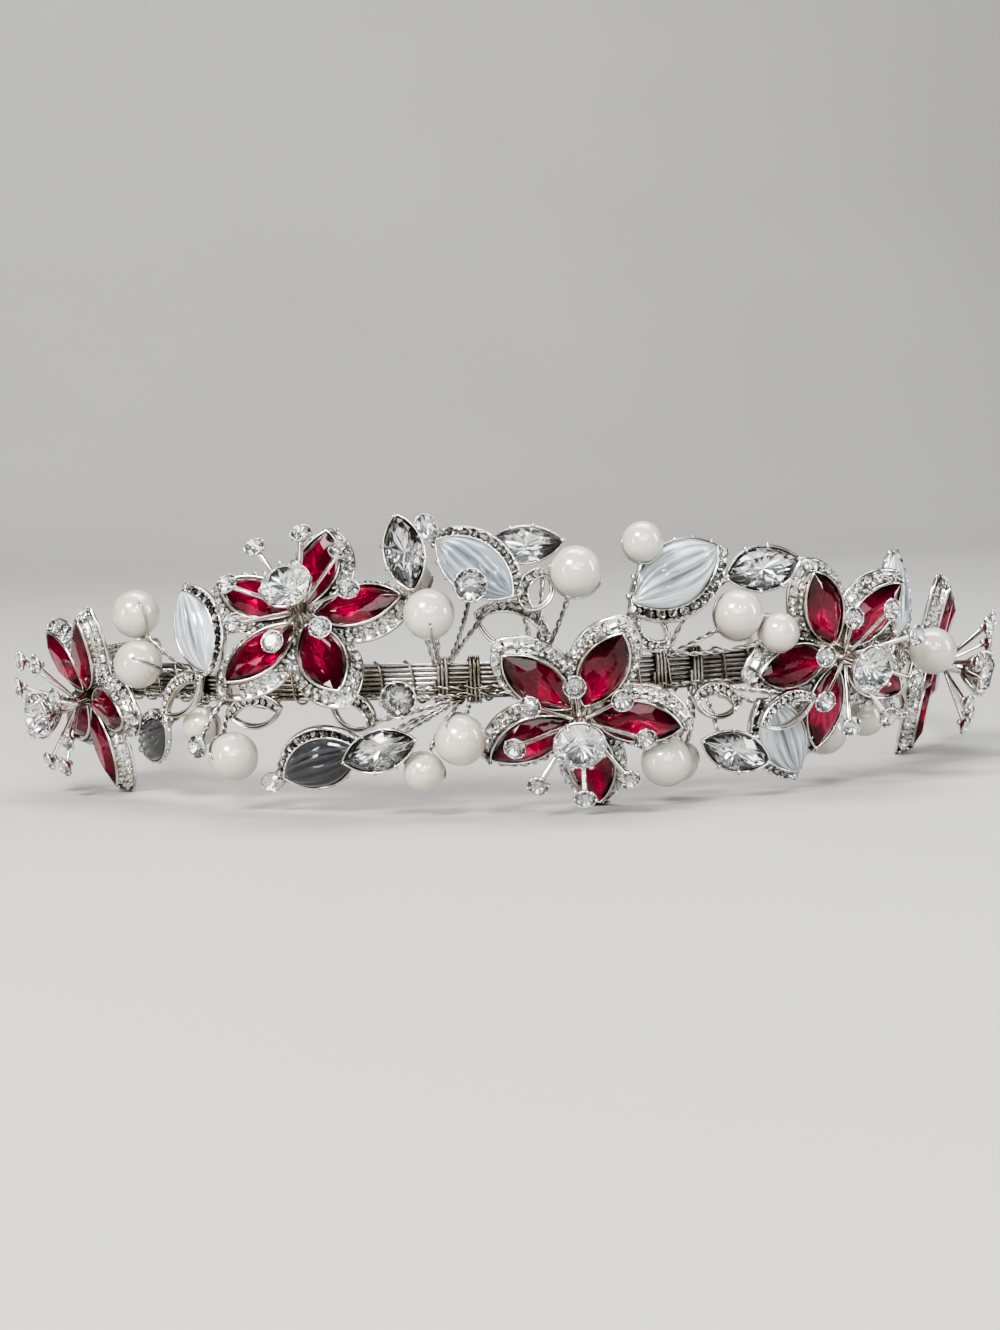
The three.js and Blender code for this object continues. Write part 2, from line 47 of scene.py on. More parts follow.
# Driving dimensions in millimetres and degrees. The main ones are those of the part's source.
# The arch frame has its origin at the centre of the front's curve, the crown at -y and the arms towards +y.
BAND_RADIUS = 74
FRONT_HALF_ANGLE = 78
ARM_RADIUS = 130
ARM_TURN = 33
WIRES = 8
WIRE_PITCH = 0.75
LUG = {"length": 9, "width": 6.4, "thickness": 1.0, "hole": 2.4, "edge": 0.2, "lip": 0.12}
BAND_WIRE = {"radius": 0.34, "back_radius": 0.3, "back": 0.5}
BINDING_WIRE = {"radius": 0.21, "end_radius": 0.22, "reach_out": 0.72, "end_reach_out": 0.74, "pitch": 5.2}
BINDING_REACH_UP = 3.3
BAND_TWIST = {"wire": 0.22, "reach": 0.22, "out": 0.95}
STEM_WIRE = {"wire": 0.21, "reach": 0.22, "pitch": 3.4}
ROOT_WIRE = {"wire": 0.42, "reach": 0.5, "turns": 1.2, "out": 0.85, "back": 0.8}
SLEEVE = {"gap": 0.3, "wall": 0.8, "length": 2.6, "wire": 0.3, "reach_out": 0.9, "reach_up": 3.55}
STEM = {"arch": 0.2, "spread": 0.2, "widest": 1}
PEARL_RADIUS = {"large": 4, "small": 3.2}
PETAL = {
    "count": 5, "middle": 8.9, "length": 16.6, "width": 11, "outward": 0.7,
    "rim_length": 14.4, "rim_width": 7.4, "height": 2.9, "lift": 2, "slope_out": 0.85, "slope_up": 0.53,
}
RED_STONE = {"length": 13.7, "width": 6.5, "crown": 1.2, "pavilion": 1.5, "seat": 2.75}
TIP_STONE = {"across": 2.8, "crown": 0.36, "pavilion": 0.6, "tilt": 56, "sunk": 0.12}
CENTRE = {"radius": 3.8, "girdle": 12, "crown": 1.6, "pavilion": 2.6}
STAMEN = {
    "count": 8, "turn": 29, "ring": 9.8, "rise": 10.8, "start": 5, "arch": 7.6, "lean": 12, "stone": 1.62,
    "half_width": 0.5, "waist": 0.12, "half_depth": 0.26,
}
LEAF = {"length": 15.5, "width": 8, "tips": 1.2, "border": 1.9, "plate": 1.2, "dome": 1.9, "drop": 2}
OPEN_LEAF = {"rim": 0.9, "border": 2.2, "thick": 1.3}
NAVETTE = {"length": 12, "depth": 1.8, "seat": 2.05, "crown": 1.25, "pavilion": 1.5}
THREAD = {"wire": 0.19, "clear": 0.2, "below": 0.35}
OVAL_POINTS = 48

# A cut stone: its side facets as shares of its half length, and of its crown's and pavilion's height
CUT = {"star": 0.8, "star_height": 0.58, "girdle": 0.06, "deep": 0.32, "deep_height": 0.76}

# Twisted wires along the band's front: first and last angle, turns, height and the seed of their slack
BAND_TWISTS = (
    (-27, 3, 9, -2.3, 1), (-22, -2, 6, -1.2, 4), (8, 29, 7, -2.2, 2), (38, 60, 7, -2.0, 6),
    (-62, -37, 8, -2.1, 8),
)

# Rows on a petal's slope: share of the way up it, pitch, and the stones' width or the balls' radius
PETAL_STONES = ((0.36, 1.56, 1.34), (0.76, 1.04, 0.84))
PETAL_BALLS = ((0.57, 1.04, 0.16), (0.2, 1.56, 0.17))

# Points along a claw of the centre stone: distance from the axis, height, half width and half thickness
CENTRE_CLAW = (
    (1.15, 8.4, 0.62, 0.4), (2.3, 9.3, 0.55, 0.36), (3.4, 10.6, 0.48, 0.32), (3.98, 11.7, 0.42, 0.3),
    (4.02, 12.3, 0.4, 0.28), (3.72, 12.75, 0.36, 0.24), (3.3, 12.95, 0.2, 0.14),
)

# Rows on the leaves: pitch, and the stones' width or the balls' radius
LEAF_STONES = (1.72, 1.64)
LEAF_BALLS = (0.86, 0.24)
LEAF_KNOBS = (2.5, 0.46)
OPEN_LEAF_STONES = (1.2, 1.1)
OPEN_LEAF_BALLS = (0.8, 0.2)

# Grooves of the leaf glass: place across it from -1 to 1, spread and depth, which also sets the painted shade
# in the grooves
GLASS_GROOVES = ((-0.55, 0.07, 0.5), (-0.12, 0.1, 1.0), (0.3, 0.07, 0.75), (0.66, 0.06, 0.45))

# The photograph's view. The frame's height, the focal length and the shift are in pixels
VIEW = {
    "azimuth": 8.3, "elevation": 3, "roll": 2, "distance": 440, "height": 1330, "focal": 2327, "shift": -11,
}

# Each flower has its place and turns, and the height on the band where its wire starts
FLOWERS = {
    "flower_1": dict(angle=-69, height=-2.3, out=5, yaw=0, pitch=-15, spin=-10, root=0),
    "flower_2": dict(angle=-30.3, height=9.5, out=6.5, yaw=9, pitch=34.5, spin=11.4, root=2.6),
    "flower_3": dict(angle=0.4, height=-4.5, out=6, yaw=-11.6, pitch=-25.7, spin=63.7, root=-1.5),
    "flower_4": dict(angle=33.4, height=2, out=6.5, yaw=-11, pitch=-14, spin=46, root=1),
    "flower_5": dict(angle=66.5, height=-2.2, out=4, yaw=0, pitch=-15, spin=46, root=0),
}

# Each spray has its root on the band, its pearls as (number, angle, height, out, size, thread angle) and
# its set pieces at (angle, height, out, yaw, pitch, spin), some with a size. Where a stem passes a place of
# its own, that is a pearl's last value or a set piece's "via". A leaf's "drop" is the heading of its drop.
SPRAYS = {
    "spray_left_upper": {
        "root": (-50, 1.6),
        "pearls": [(1, -56.1, 11.6, 7, "large", 20), (2, -54.5, 3.4, 8.5, "large", 60)],
        "set": [
            {"kind": "leaf", "at": (-45.8, 8.6, 5.5, 0, 8, 117), "glass": "milky"},
            {"kind": "open_leaf", "at": (-48.6, -1.6, 5.6, 0, 0, 212), "length": 12, "width": 6.5},
        ],
    },
    "spray_left_lower": {
        "root": (-45, -2.6),
        "pearls": [(3, -40.5, -11.4, 7, "large", 75), (4, -48.3, -7, 2.6, "small", 10)],
        "set": [
            {
                "kind": "leaf", "at": (-56, -9.4, 3.3, -10, -10, 205, 0.85), "via": (-50.5, -2.6, 1.8),
                "glass": "dark_reflection",
            },
            {"kind": "round", "at": (-45.4, -9.6, 6.5, 0, -10, 0), "radius": 1.9},
            {"kind": "open_leaf", "at": (-38, -4, 5, 0, -10, 186), "length": 11, "width": 6},
        ],
    },
    "spray_middle_left_upper": {
        "root": (-15.5, 2.6),
        "pearls": [(5, -15.7, 10.8, 9, "large", 80), (6, -18.8, 15.9, -0.2, "small", 0)],
        "set": [
            {"kind": "navette", "at": (-18, 20, 7, -6, 12, 105), "via": (-14.8, 10, 1.6)},
            {"kind": "leaf", "at": (-10.7, 17.5, 7.4, 0, 10, 142), "drop": 118, "glass": "bluish"},
            {"kind": "round", "at": (-11, 15, 11.4, 0, 5, 0), "radius": 2.6, "via": (-12, 8.5, 6.5)},
        ],
    },
    "spray_middle_left_lower": {
        "root": (-11.6, -2.6),
        "pearls": [
            (7, -12.8, -8.7, 9, "large", 55),
            (8, -17, -13.6, 8, "small", 15, (-15.8, -7, 3)),
        ],
        "set": [
            {"kind": "navette", "at": (-21.3, -9.7, 9, 0, -8, 16)},
            {"kind": "round", "at": (-19.2, -2.2, 8, 0, 0, 0), "radius": 2.9},
            {"kind": "leaf", "at": (-29.2, -11.8, 5.5, 0, -20, 201), "drop": 201, "glass": "dark_reflection"},
            {"kind": "open_leaf", "at": (-25.4, -4.4, 4.5, 0, 0, 150), "length": 8.5, "width": 6},
        ],
    },
    "spray_middle_upper": {
        "root": (-4, 2.6),
        "pearls": [(9, 0.2, 16.6, 8, "large", 10)],
        "set": [
            {"kind": "navette", "at": (-5.1, 20, 1.6, 0, 28, 4)},
            {"kind": "open_leaf", "at": (-4.1, 13.8, 5.2, 0, 10, 245), "length": 7.5, "width": 6},
            {"kind": "open_leaf", "at": (-6.7, 8.4, 3, 0, 0, 160), "length": 13, "width": 8},
        ],
    },
    "spray_middle_right_upper": {
        "root": (4.8, 2.6),
        "pearls": [(10, 7.6, 20.8, 8.6, "small", 5)],
        "set": [
            {"kind": "leaf", "at": (12, 15.2, 5, 0, 12, 28, 1.2), "via": (7.5, 8, 2.5), "glass": "milky"},
            {"kind": "open_leaf", "at": (9, 6.6, 4.5, 0, 0, -40), "length": 8, "width": 6},
        ],
    },
    "spray_right_upper": {
        "root": (11.5, 2.6),
        "pearls": [
            (11, 19.5, 8.7, 7, "large", 5),
            (12, 23.8, 5.6, 9.6, "small", 0, (19.5, 2.4, 5)),
        ],
        "set": [
            {"kind": "navette", "at": (23.9, 15, 4.2, -10, 20, 10, 1.15), "via": (15, 13, 2.5)},
        ],
    },
    "spray_middle_right_lower": {
        "root": (16.5, -2.6),
        "pearls": [(13, 10.3, -13.8, 5.8, "large", 5), (14, 13.9, -14.6, 0, "small", 0)],
        "set": [
            {"kind": "navette", "at": (18.6, -12.4, 6, -12, -14, -20)},
            {"kind": "leaf", "at": (26.6, -11.2, 4, -8, -15, -58), "glass": "milky"},
            {"kind": "open_leaf", "at": (24.4, -6.6, 9.2, 0, -10, 200), "length": 12, "width": 6},
            {"kind": "open_leaf", "at": (17, -4.8, 5, 0, 0, 170), "length": 9, "width": 6},
        ],
    },
    "spray_right_lower": {
        "root": (42, -2.6),
        "pearls": [(15, 37.5, -12, 0.7, "large", 0), (16, 44.5, -10.5, 3, "small", 0)],
        "set": [{"kind": "open_leaf", "at": (49, -8, 5, 0, 0, -30), "length": 11, "width": 6}],
    },
    "spray_far_right": {
        "root": (51, 1),
        "pearls": [(17, 50.5, 0.3, 12, "large", 0)],
        "set": [
            {"kind": "leaf", "at": (50.5, 10, 4.5, 0, 10, 72), "glass": "milky"},
            {"kind": "open_leaf", "at": (48.5, 0, 6, 0, 0, 20), "length": 9, "width": 6},
        ],
    },
}


def turn(axis, angle):
    return Matrix.Rotation(math.radians(angle), 4, axis)


def placing(angle, height, out, yaw=0, pitch=0, spin=0, size=1):
    """The place of a piece: round the arch, across the band and out from it, then turned its own way"""
    there = turn("Z", angle) @ Matrix.Translation((0, -(BAND_RADIUS + out), height)) @ turn("X", 90)
    return there @ turn("Y", yaw) @ turn("X", -pitch) @ turn("Z", spin) @ Matrix.Scale(size, 4)


def spot(angle, height, out):
    return placing(angle, height, out).translation


# Where the arch lies: its turns as it rests on the floor, and its place from one pearl of the frame
LIE = turn("X", -1.452) @ turn("Y", 0.07)
PEARL_5 = SPRAYS["spray_middle_left_upper"]["pearls"][0][1:4]
pearl_low, pearl_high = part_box("pearl_5")
ARCH = (
    Matrix.Translation((pearl_low + pearl_high) / 2)
    @ Matrix.Scale(0.001, 4)
    @ LIE
    @ Matrix.Translation(-spot(*PEARL_5))
)


# Finishes. The scale of a noise is its number of cells a metre

class Finish:
    """A material built one shader node at a time"""

    def __init__(self, name):
        self.material = bpy.data.materials.new(name)
        self.material.use_nodes = True
        self.tree = self.material.node_tree
        self.shader = self.tree.nodes["Principled BSDF"]

    def node(self, kind, inputs=None, **settings):
        made = self.tree.nodes.new(kind)
        for key, value in settings.items():
            setattr(made, key, value)
        for key, value in (inputs or {}).items():
            self.set(made.inputs[key], value)
        return made.outputs

    def set(self, socket, value):
        if isinstance(value, bpy.types.NodeSocket):
            self.tree.links.new(value, socket)
        else:
            socket.default_value = value

    def shade(self, **values):
        for key, value in values.items():
            self.set(self.shader.inputs[key.replace("_", " ")], value)

    def noise(self, scale, detail):
        place = self.node("ShaderNodeTexCoord")["Object"]
        return self.node("ShaderNodeTexNoise", {"Vector": place, "Scale": scale, "Detail": detail})["Fac"]

    def ramp(self, factor, low, high):
        """Colour from one (place, colour) to the other"""
        made = self.tree.nodes.new("ShaderNodeValToRGB")
        self.tree.links.new(factor, made.inputs["Fac"])
        for stop, (place, colour) in zip(made.color_ramp.elements, (low, high)):
            stop.position = place
            stop.color = (*colour, 1)
        return made.outputs["Color"]

    def range(self, factor, low, high):
        return self.node("ShaderNodeMapRange", {"Value": factor, "To Min": low, "To Max": high})["Result"]

    def bump(self, height, strength, distance):
        sizes = {"Height": height, "Strength": strength, "Distance": distance}
        return self.node("ShaderNodeBump", sizes)["Normal"]


def silver_finish(name, bright, dull, roughness, patch=220):
    finish = Finish(name)
    tarnish = finish.noise(patch, 4)
    grain = finish.noise(2600, 2)
    wear = finish.noise(900, 3)
    finish.shade(
        Base_Color=finish.ramp(tarnish, (0.36, dull), (0.56, bright)),
        Metallic=1.0,
        Roughness=finish.range(wear, roughness * 0.6, roughness * 1.6),
        Normal=finish.bump(grain, 0.12, 0.00006),
    )
    return finish.material


def clear_finish(name, tint, paler):
    finish = Finish(name)
    finish.shade(
        Base_Color=finish.ramp(finish.noise(420, 2), (0.38, tint), (0.62, paler)),
        Roughness=finish.range(finish.noise(1300, 2), 0.0, 0.03),
        IOR=1.6,
        Transmission_Weight=1.0,
    )
    return finish.material


def foil_finish(name, colour, roughness):
    finish = Finish(name)
    mottle = finish.noise(500, 2)
    darker = tuple(c * 0.82 for c in colour)
    finish.shade(
        Base_Color=finish.ramp(mottle, (0.3, darker), (0.65, colour)),
        Metallic=1.0,
        Roughness=finish.range(finish.noise(1100, 2), roughness * 0.6, roughness * 1.4),
    )
    return finish.material


def leaf_glass(name, body, groove_shade, transmission, roughness):
    finish = Finish(name)
    # The attribute read here darkens the glass in its grooves as painted shade
    depth = finish.node("ShaderNodeAttribute", attribute_name="groove_shade")["Fac"]
    ribs = finish.node("ShaderNodeAttribute", attribute_name="ribs")["Vector"]
    # The streaks along the ribs are partly the glass's own mother-of-pearl tone and partly painted reflection
    # and shade
    streaks = finish.node("ShaderNodeTexNoise", {"Vector": ribs, "Scale": 1.0, "Detail": 3.0})["Fac"]
    pale = finish.ramp(streaks, (0.36, tuple(c * 0.45 for c in body)), (0.54, body))
    # The colours of a mix node are its sockets 6 and 7, and its result is socket 2
    ribbed = finish.node("ShaderNodeMix", {0: depth, 6: pale, 7: (*groove_shade, 1)}, data_type="RGBA")[2]
    finish.shade(
        Base_Color=ribbed,
        Roughness=roughness,
        IOR=1.5,
        Transmission_Weight=transmission,
        Coat_Weight=0.7,
        Coat_Roughness=0.06,
        Normal=finish.bump(streaks, 0.35, 0.0003),
    )
    return finish.material


def pearl_finish(name, body, warm):
    finish = Finish(name)
    nacre = finish.noise(140, 3)
    finish.shade(
        Base_Color=finish.ramp(nacre, (0.35, warm), (0.62, body)),
        Roughness=0.32,
        Subsurface_Weight=0.06,
        Subsurface_Radius=(0.002, 0.0015, 0.001),
        Subsurface_Scale=0.5,
        Coat_Weight=1.0,
        Coat_Roughness=0.11,
        Coat_IOR=1.8,
        Normal=finish.bump(finish.noise(1500, 2), 0.05, 0.0001),
    )
    return finish.material


SILVER = silver_finish("rhodium_silver", (0.82, 0.81, 0.79), (0.46, 0.42, 0.36), 0.15)
WIRE_SILVER = silver_finish("wire_silver", (0.56, 0.55, 0.53), (0.27, 0.245, 0.21), 0.17, 160)
# Tarnished binding wire, also used on the band's back row of wires as painted shade in the gaps between the
# front wires
BINDING = silver_finish("tarnished_and_shade_wire", (0.49, 0.47, 0.43), (0.20, 0.175, 0.14), 0.22, 190)
CRYSTAL = clear_finish("clear_crystal", (0.97, 0.98, 1.0), (1.0, 1.0, 1.0))
FOIL = foil_finish("crystal_foil", (0.98, 0.98, 0.98), 0.12)
RUBY = clear_finish("red_crystal", (0.27, 0.0, 0.03), (0.37, 0.002, 0.055))
RUBY_FOIL = foil_finish("red_foil", (0.97, 0.88, 0.88), 0.3)
# Each leaf glass: body colour, painted shade colour in its grooves, transmission and roughness
LEAF_GLASS = {
    "milky": leaf_glass("milky_leaf_glass", (0.72, 0.79, 0.82), (0.09, 0.11, 0.12), 0.2, 0.14),
    "bluish": leaf_glass("bluish_leaf_glass", (0.44, 0.50, 0.57), (0.06, 0.07, 0.09), 0.3, 0.12),
    # This glass is coloured near black: a painted reflection of dark surroundings in clear glass
    "dark_reflection": leaf_glass("dark_reflection_leaf_glass", (0.075, 0.078, 0.088), (0.01, 0.01, 0.012), 0.4, 0.08),
}
# The bed under the pave is nearly black: painted shade in the gaps between its small stones
PAVE_BED_PAINTED_SHADE = silver_finish("pave_bed_painted_shade", (0.22, 0.20, 0.175), (0.06, 0.05, 0.038), 0.3, 500)
PEARL_WHITE = pearl_finish("warm_white_pearl", (0.55, 0.525, 0.465), (0.47, 0.435, 0.365))


# Meshes in millimetres

def mesh_of(points, faces, finishes, which=None, smooth=True):
    """A mesh in its finishes, with the number of a finish for each face where there is more than one"""
    mesh = bpy.data.meshes.new("shape")
    mesh.from_pydata([tuple(p) for p in points], [], faces)
    for finish in finishes:
        mesh.materials.append(finish)
    if which:
        mesh.polygons.foreach_set("material_index", which)
    mesh.polygons.foreach_set("use_smooth", [smooth] * len(faces))
    mesh.update()
    return mesh


def loft(rings, closed=False):
    """A skin over rings of points, with a cap at both ends or closed into a ring of its own"""
    count = len(rings[0])
    points = [p for ring in rings for p in ring]
    faces = []
    spans = len(rings) if closed else len(rings) - 1
    for r in range(spans):
        here, there = r * count, ((r + 1) % len(rings)) * count
        for k in range(count):
            after = (k + 1) % count
            faces.append((here + k, here + after, there + after, there + k))
    if not closed:
        faces.append(tuple(reversed(range(count))))
        faces.append(tuple(range(spans * count, (spans + 1) * count)))
    return points, faces


def arc_radius(length, width):
    """The radius of the two arcs of a pointed oval"""
    return (length * length + width * width) / (4 * width)


def navette_outline(length, width, count):
    """Two arcs that meet in a point at each end of the x axis, counterclockwise from the +x tip"""
    radius = arc_radius(length, width)
    reach = math.asin(min(1, length / 2 / radius))
    points = []
    for side in (1, -1):
        for k in range(count // 2):
            a = reach * (1 - 4 * k / count)
            points.append((side * radius * math.sin(a), side * (radius * math.cos(a) - radius + width / 2)))
    return points


def navette_ring(length, width, z, dy=0.0):
    return [(x, y + dy, z) for x, y in navette_outline(length, width, OVAL_POINTS)]


def circle(radius, z, count):
    points = []
    for k in range(count):
        a = 2 * math.pi * k / count
        points.append((radius * math.cos(a), radius * math.sin(a), z))
    return points


def turned(profile, count):
    """A silver body of revolution about z, from a profile of (radius, height) that rises along its outside"""
    return mesh_of(*loft([circle(r, z, count) for r, z in profile]), [SILVER])


def round_outline(a):
    return math.cos(a), math.sin(a)


def navette_edge(a, slim=0.5):
    """A pointed oval of length 2 at the angle a round it"""
    t = (a / math.pi) % 2
    side = 1 if t < 1 else -1
    share = t % 1
    x = math.cos(math.pi * share) * side
    return x, side * slim * (1 - abs(x) ** 1.9)


def drop_outline(a):
    """A drop whose narrow end is at -x"""
    x, y = math.cos(a), math.sin(a)
    return (x, y * 0.8) if x > 0 else (x * 1.55, y * 0.8 * (1 + 0.45 * x))


def backed_by_foil(points, faces, shown, finish, backing):
    """A stone with its first faces shown and the others on foil, which the trees read from its attribute"""
    which = [0] * shown + [1] * (len(faces) - shown)
    mesh = mesh_of(points, faces, [finish, backing], which, smooth=False)
    foil = mesh.attributes.new("foil", "BOOLEAN", "FACE")
    foil.data.foreach_set("value", [bool(f) for f in which])
    return mesh


def cut_stone(edge, length, crown, pavilion, finish, backing, sides=8, table=0.56):
    """A brilliant: table, star, kite and girdle facets above, and mains and halves below on a foil backing"""
    half = length / 2
    step = math.pi / sides

    def ring(scale, z, first, every):
        points = []
        for k in range(first, 2 * sides, every):
            x, y = edge(k * step)
            points.append((x * half * scale, y * half * scale, z))
        return points

    girdle = CUT["girdle"] * crown
    points = ring(table, crown, 0, 2) + ring(CUT["star"], crown * CUT["star_height"], 1, 2)
    points += ring(1.0, girdle, 0, 1) + ring(1.0, -girdle, 0, 1)
    points += ring(CUT["deep"], -pavilion * CUT["deep_height"], 1, 2) + [(0, 0, -pavilion)]
    # Where each ring of points starts after the table's
    star, top, low, deep, point = sides, 2 * sides, 4 * sides, 6 * sides, 7 * sides
    faces = [tuple(range(sides))]
    for k in range(sides):
        after, before = (k + 1) % sides, (k - 1) % sides
        g0, g1, g2 = 2 * k, 2 * k + 1, (2 * k + 2) % (2 * sides)
        faces.append((k, star + k, after))
        faces.append((k, star + before, top + g0, star + k))
        faces.append((star + k, top + g0, top + g1))
        faces.append((star + k, top + g1, top + g2))
        faces.append((top + g0, low + g0, low + g1, top + g1))
        faces.append((top + g1, low + g1, low + g2, top + g2))
    shown = len(faces)
    for k in range(sides):
        before = (k - 1) % sides
        g0, g1, g2 = 2 * k, 2 * k + 1, (2 * k + 2) % (2 * sides)
        faces.append((low + g0, deep + k, low + g1))
        faces.append((low + g1, deep + k, low + g2))
        faces.append((low + g0, deep + before, point, deep + k))
    return backed_by_foil(points, faces, shown, finish, backing)


def small_stone(sides=6):
    """One pave stone, 1 mm across: a table, a slope and a girdle, with a point below"""
    points = circle(0.3, 0.24, sides) + circle(0.5, 0.04, sides) + circle(0.5, -0.03, sides) + [(0, 0, -0.3)]
    faces = [tuple(range(sides))]
    for r in (0, 1):
        for k in range(sides):
            after = (k + 1) % sides
            low = (r + 1) * sides
            faces.append((r * sides + k, low + k, low + after, r * sides + after))
    shown = len(faces)
    for k in range(sides):
        faces.append((2 * sides + k, 3 * sides, 2 * sides + (k + 1) % sides))
    return backed_by_foil(points, faces, shown, CRYSTAL, FOIL)


def ball_mesh(radius, across=6, rings=4, stretch=1.0):
    """A silver ball, which makes a claw where it is stretched along z"""
    profile = []
    for k in range(rings + 1):
        a = math.pi * k / rings
        profile.append((radius * max(math.sin(a), 1e-3), -radius * math.cos(a) * stretch))
    return turned(profile, across)


def bow(start, middle, end, count=16):
    """Points along a curve that leaves its start, and comes to its end, in line with a middle place"""
    points = []
    for k in range(count + 1):
        t = k / count
        points.append(start * (1 - t) ** 2 + middle * (2 * t * (1 - t)) + end * (t * t))
    return points


def path_mesh(paths, closed=False, widths=None):
    """Lines of points for a tree to grow on, with a width at each point"""
    mesh = bpy.data.meshes.new("path")
    points, edges = [], []
    for path in paths:
        first = len(points)
        points.extend(tuple(p) for p in path)
        edges.extend((first + k, first + k + 1) for k in range(len(path) - 1))
        if closed:
            edges.append((len(points) - 1, first))
    mesh.from_pydata(points, edges, [])
    width = mesh.attributes.new("width", "FLOAT", "POINT")
    width.data.foreach_set("value", widths or [1.0] * len(points))
    return mesh


# Trees that make what repeats or follows a path

class Tree:
    """A tree of geometry nodes with named inputs"""

    def __init__(self, name, sizes):
        self.group = bpy.data.node_groups.new(name, "GeometryNodeTree")
        face = self.group.interface
        face.new_socket("Geometry", in_out="INPUT", socket_type="NodeSocketGeometry")
        for label, (kind, value) in sizes.items():
            socket = face.new_socket(label, in_out="INPUT", socket_type="NodeSocket" + kind)
            if value is not None:
                socket.default_value = value
        face.new_socket("Geometry", in_out="OUTPUT", socket_type="NodeSocketGeometry")
        self.inputs = self.group.nodes.new("NodeGroupInput").outputs

    def node(self, kind, inputs=None, **settings):
        made = self.group.nodes.new(kind)
        for key, value in settings.items():
            setattr(made, key, value)
        for key, value in (inputs or {}).items():
            if isinstance(value, bpy.types.NodeSocket):
                self.group.links.new(value, made.inputs[key])
            else:
                made.inputs[key].default_value = value
        return made.outputs

    def reckon(self, operation, a, b=0.0):
        return self.node("ShaderNodeMath", {0: a, 1: b}, operation=operation)[0]

    def vector(self, operation, a, b):
        return self.node("ShaderNodeVectorMath", {0: a, 1: b}, operation=operation)[0]

    def scaled(self, a, by):
        return self.node("ShaderNodeVectorMath", {0: a, "Scale": by}, operation="SCALE")[0]

    def attribute(self, name, kind="FLOAT"):
        return self.node("GeometryNodeInputNamedAttribute", {"Name": name}, data_type=kind)[0]

    def finish(self, geometry):
        """Real geometry in the asked material, with the backing on the faces marked as foil"""
        real = self.node("GeometryNodeRealizeInstances", {"Geometry": geometry})[0]
        ask = self.inputs
        worn = self.node("GeometryNodeSetMaterial", {"Geometry": real, "Material": ask["Material"]})[0]
        on_foil = self.attribute("foil", "BOOLEAN")
        backed = self.node(
            "GeometryNodeSetMaterial", {"Geometry": worn, "Selection": on_foil, "Material": ask["Backing"]}
        )[0]
        out = self.group.nodes.new("NodeGroupOutput")
        self.group.links.new(backed, out.inputs["Geometry"])
        return self.group


FINISH_INPUTS = {"Material": ("Material", None), "Backing": ("Material", None)}


def slack_offset(tree, index):
    """A slow wander of each strand, so that no two lie alike"""
    place = tree.scaled(tree.node("GeometryNodeInputPosition")[0], tree.inputs["Slack size"])
    which = tree.reckon("ADD", tree.reckon("MULTIPLY", index, 7.3), tree.inputs["Seed"])
    noise = tree.node(
        "ShaderNodeTexNoise",
        {"Vector": place, "W": which, "Scale": 1.0, "Detail": 1.0},
        noise_dimensions="4D",
    )["Color"]
    centred = tree.vector("SUBTRACT", noise, (0.5, 0.5, 0.5))
    return tree.scaled(centred, tree.inputs["Slack"])


def coil_tree(name, normals):
    """Strands of round wire that wind round a path, on a round or boxy section"""
    tree = Tree(name, {
        "Wire radius": ("Float", 0.2),
        "Strands": ("Int", 2),
        "Reach out": ("Float", 0.2),
        "Reach up": ("Float", 0.2),
        "Corner": ("Float", 1.0),
        "Turns": ("Float", 4.0),
        "Steps": ("Int", 60),
        "Sides": ("Int", 8),
        "Slack": ("Float", 0.0),
        "Slack size": ("Float", 0.3),
        "Seed": ("Float", 0.0),
        **FINISH_INPUTS,
    })
    ask = tree.inputs
    path = tree.node("GeometryNodeMeshToCurve", {"Mesh": ask["Geometry"]})[0]
    path = tree.node("GeometryNodeSetCurveNormal", {"Curve": path}, mode=normals)[0]
    path = tree.node("GeometryNodeResampleCurve", {"Curve": path, "Count": ask["Steps"]}, mode="COUNT")[0]
    copies = tree.node(
        "GeometryNodeDuplicateElements", {"Geometry": path, "Amount": ask["Strands"]}, domain="SPLINE"
    )
    index = copies["Duplicate Index"]
    along = tree.node("GeometryNodeSplineParameter")["Factor"]
    own_start = tree.reckon("DIVIDE", index, ask["Strands"])
    turns = tree.reckon("ADD", tree.reckon("MULTIPLY", along, ask["Turns"]), own_start)
    angle = tree.reckon("MULTIPLY", turns, 2 * math.pi)
    normal = tree.node("GeometryNodeInputNormal")[0]
    across = tree.vector("CROSS_PRODUCT", tree.node("GeometryNodeInputTangent")[0], normal)
    offset = slack_offset(tree, index)
    for wave, direction, reach in (("COSINE", normal, "Reach out"), ("SINE", across, "Reach up")):
        swing = tree.reckon(wave, angle)
        size = tree.reckon("POWER", tree.reckon("ABSOLUTE", swing), ask["Corner"])
        swing = tree.reckon("MULTIPLY", tree.reckon("SIGN", swing), size)
        swing = tree.reckon("MULTIPLY", swing, ask[reach])
        offset = tree.vector("ADD", offset, tree.scaled(direction, swing))
    wound = tree.node("GeometryNodeSetPosition", {"Geometry": copies["Geometry"], "Offset": offset})[0]
    wound = tree.node("GeometryNodeSetCurveNormal", {"Curve": wound}, mode="MINIMUM_TWIST")[0]
    return swept(tree, wound)


def swept(tree, curve):
    """The curve as round wire with closed ends"""
    section = tree.node(
        "GeometryNodeCurvePrimitiveCircle",
        {"Resolution": tree.inputs["Sides"], "Radius": tree.inputs["Wire radius"]},
    )[0]
    wire = tree.node(
        "GeometryNodeCurveToMesh", {"Curve": curve, "Profile Curve": section, "Fill Caps": True}
    )[0]
    return tree.finish(wire)


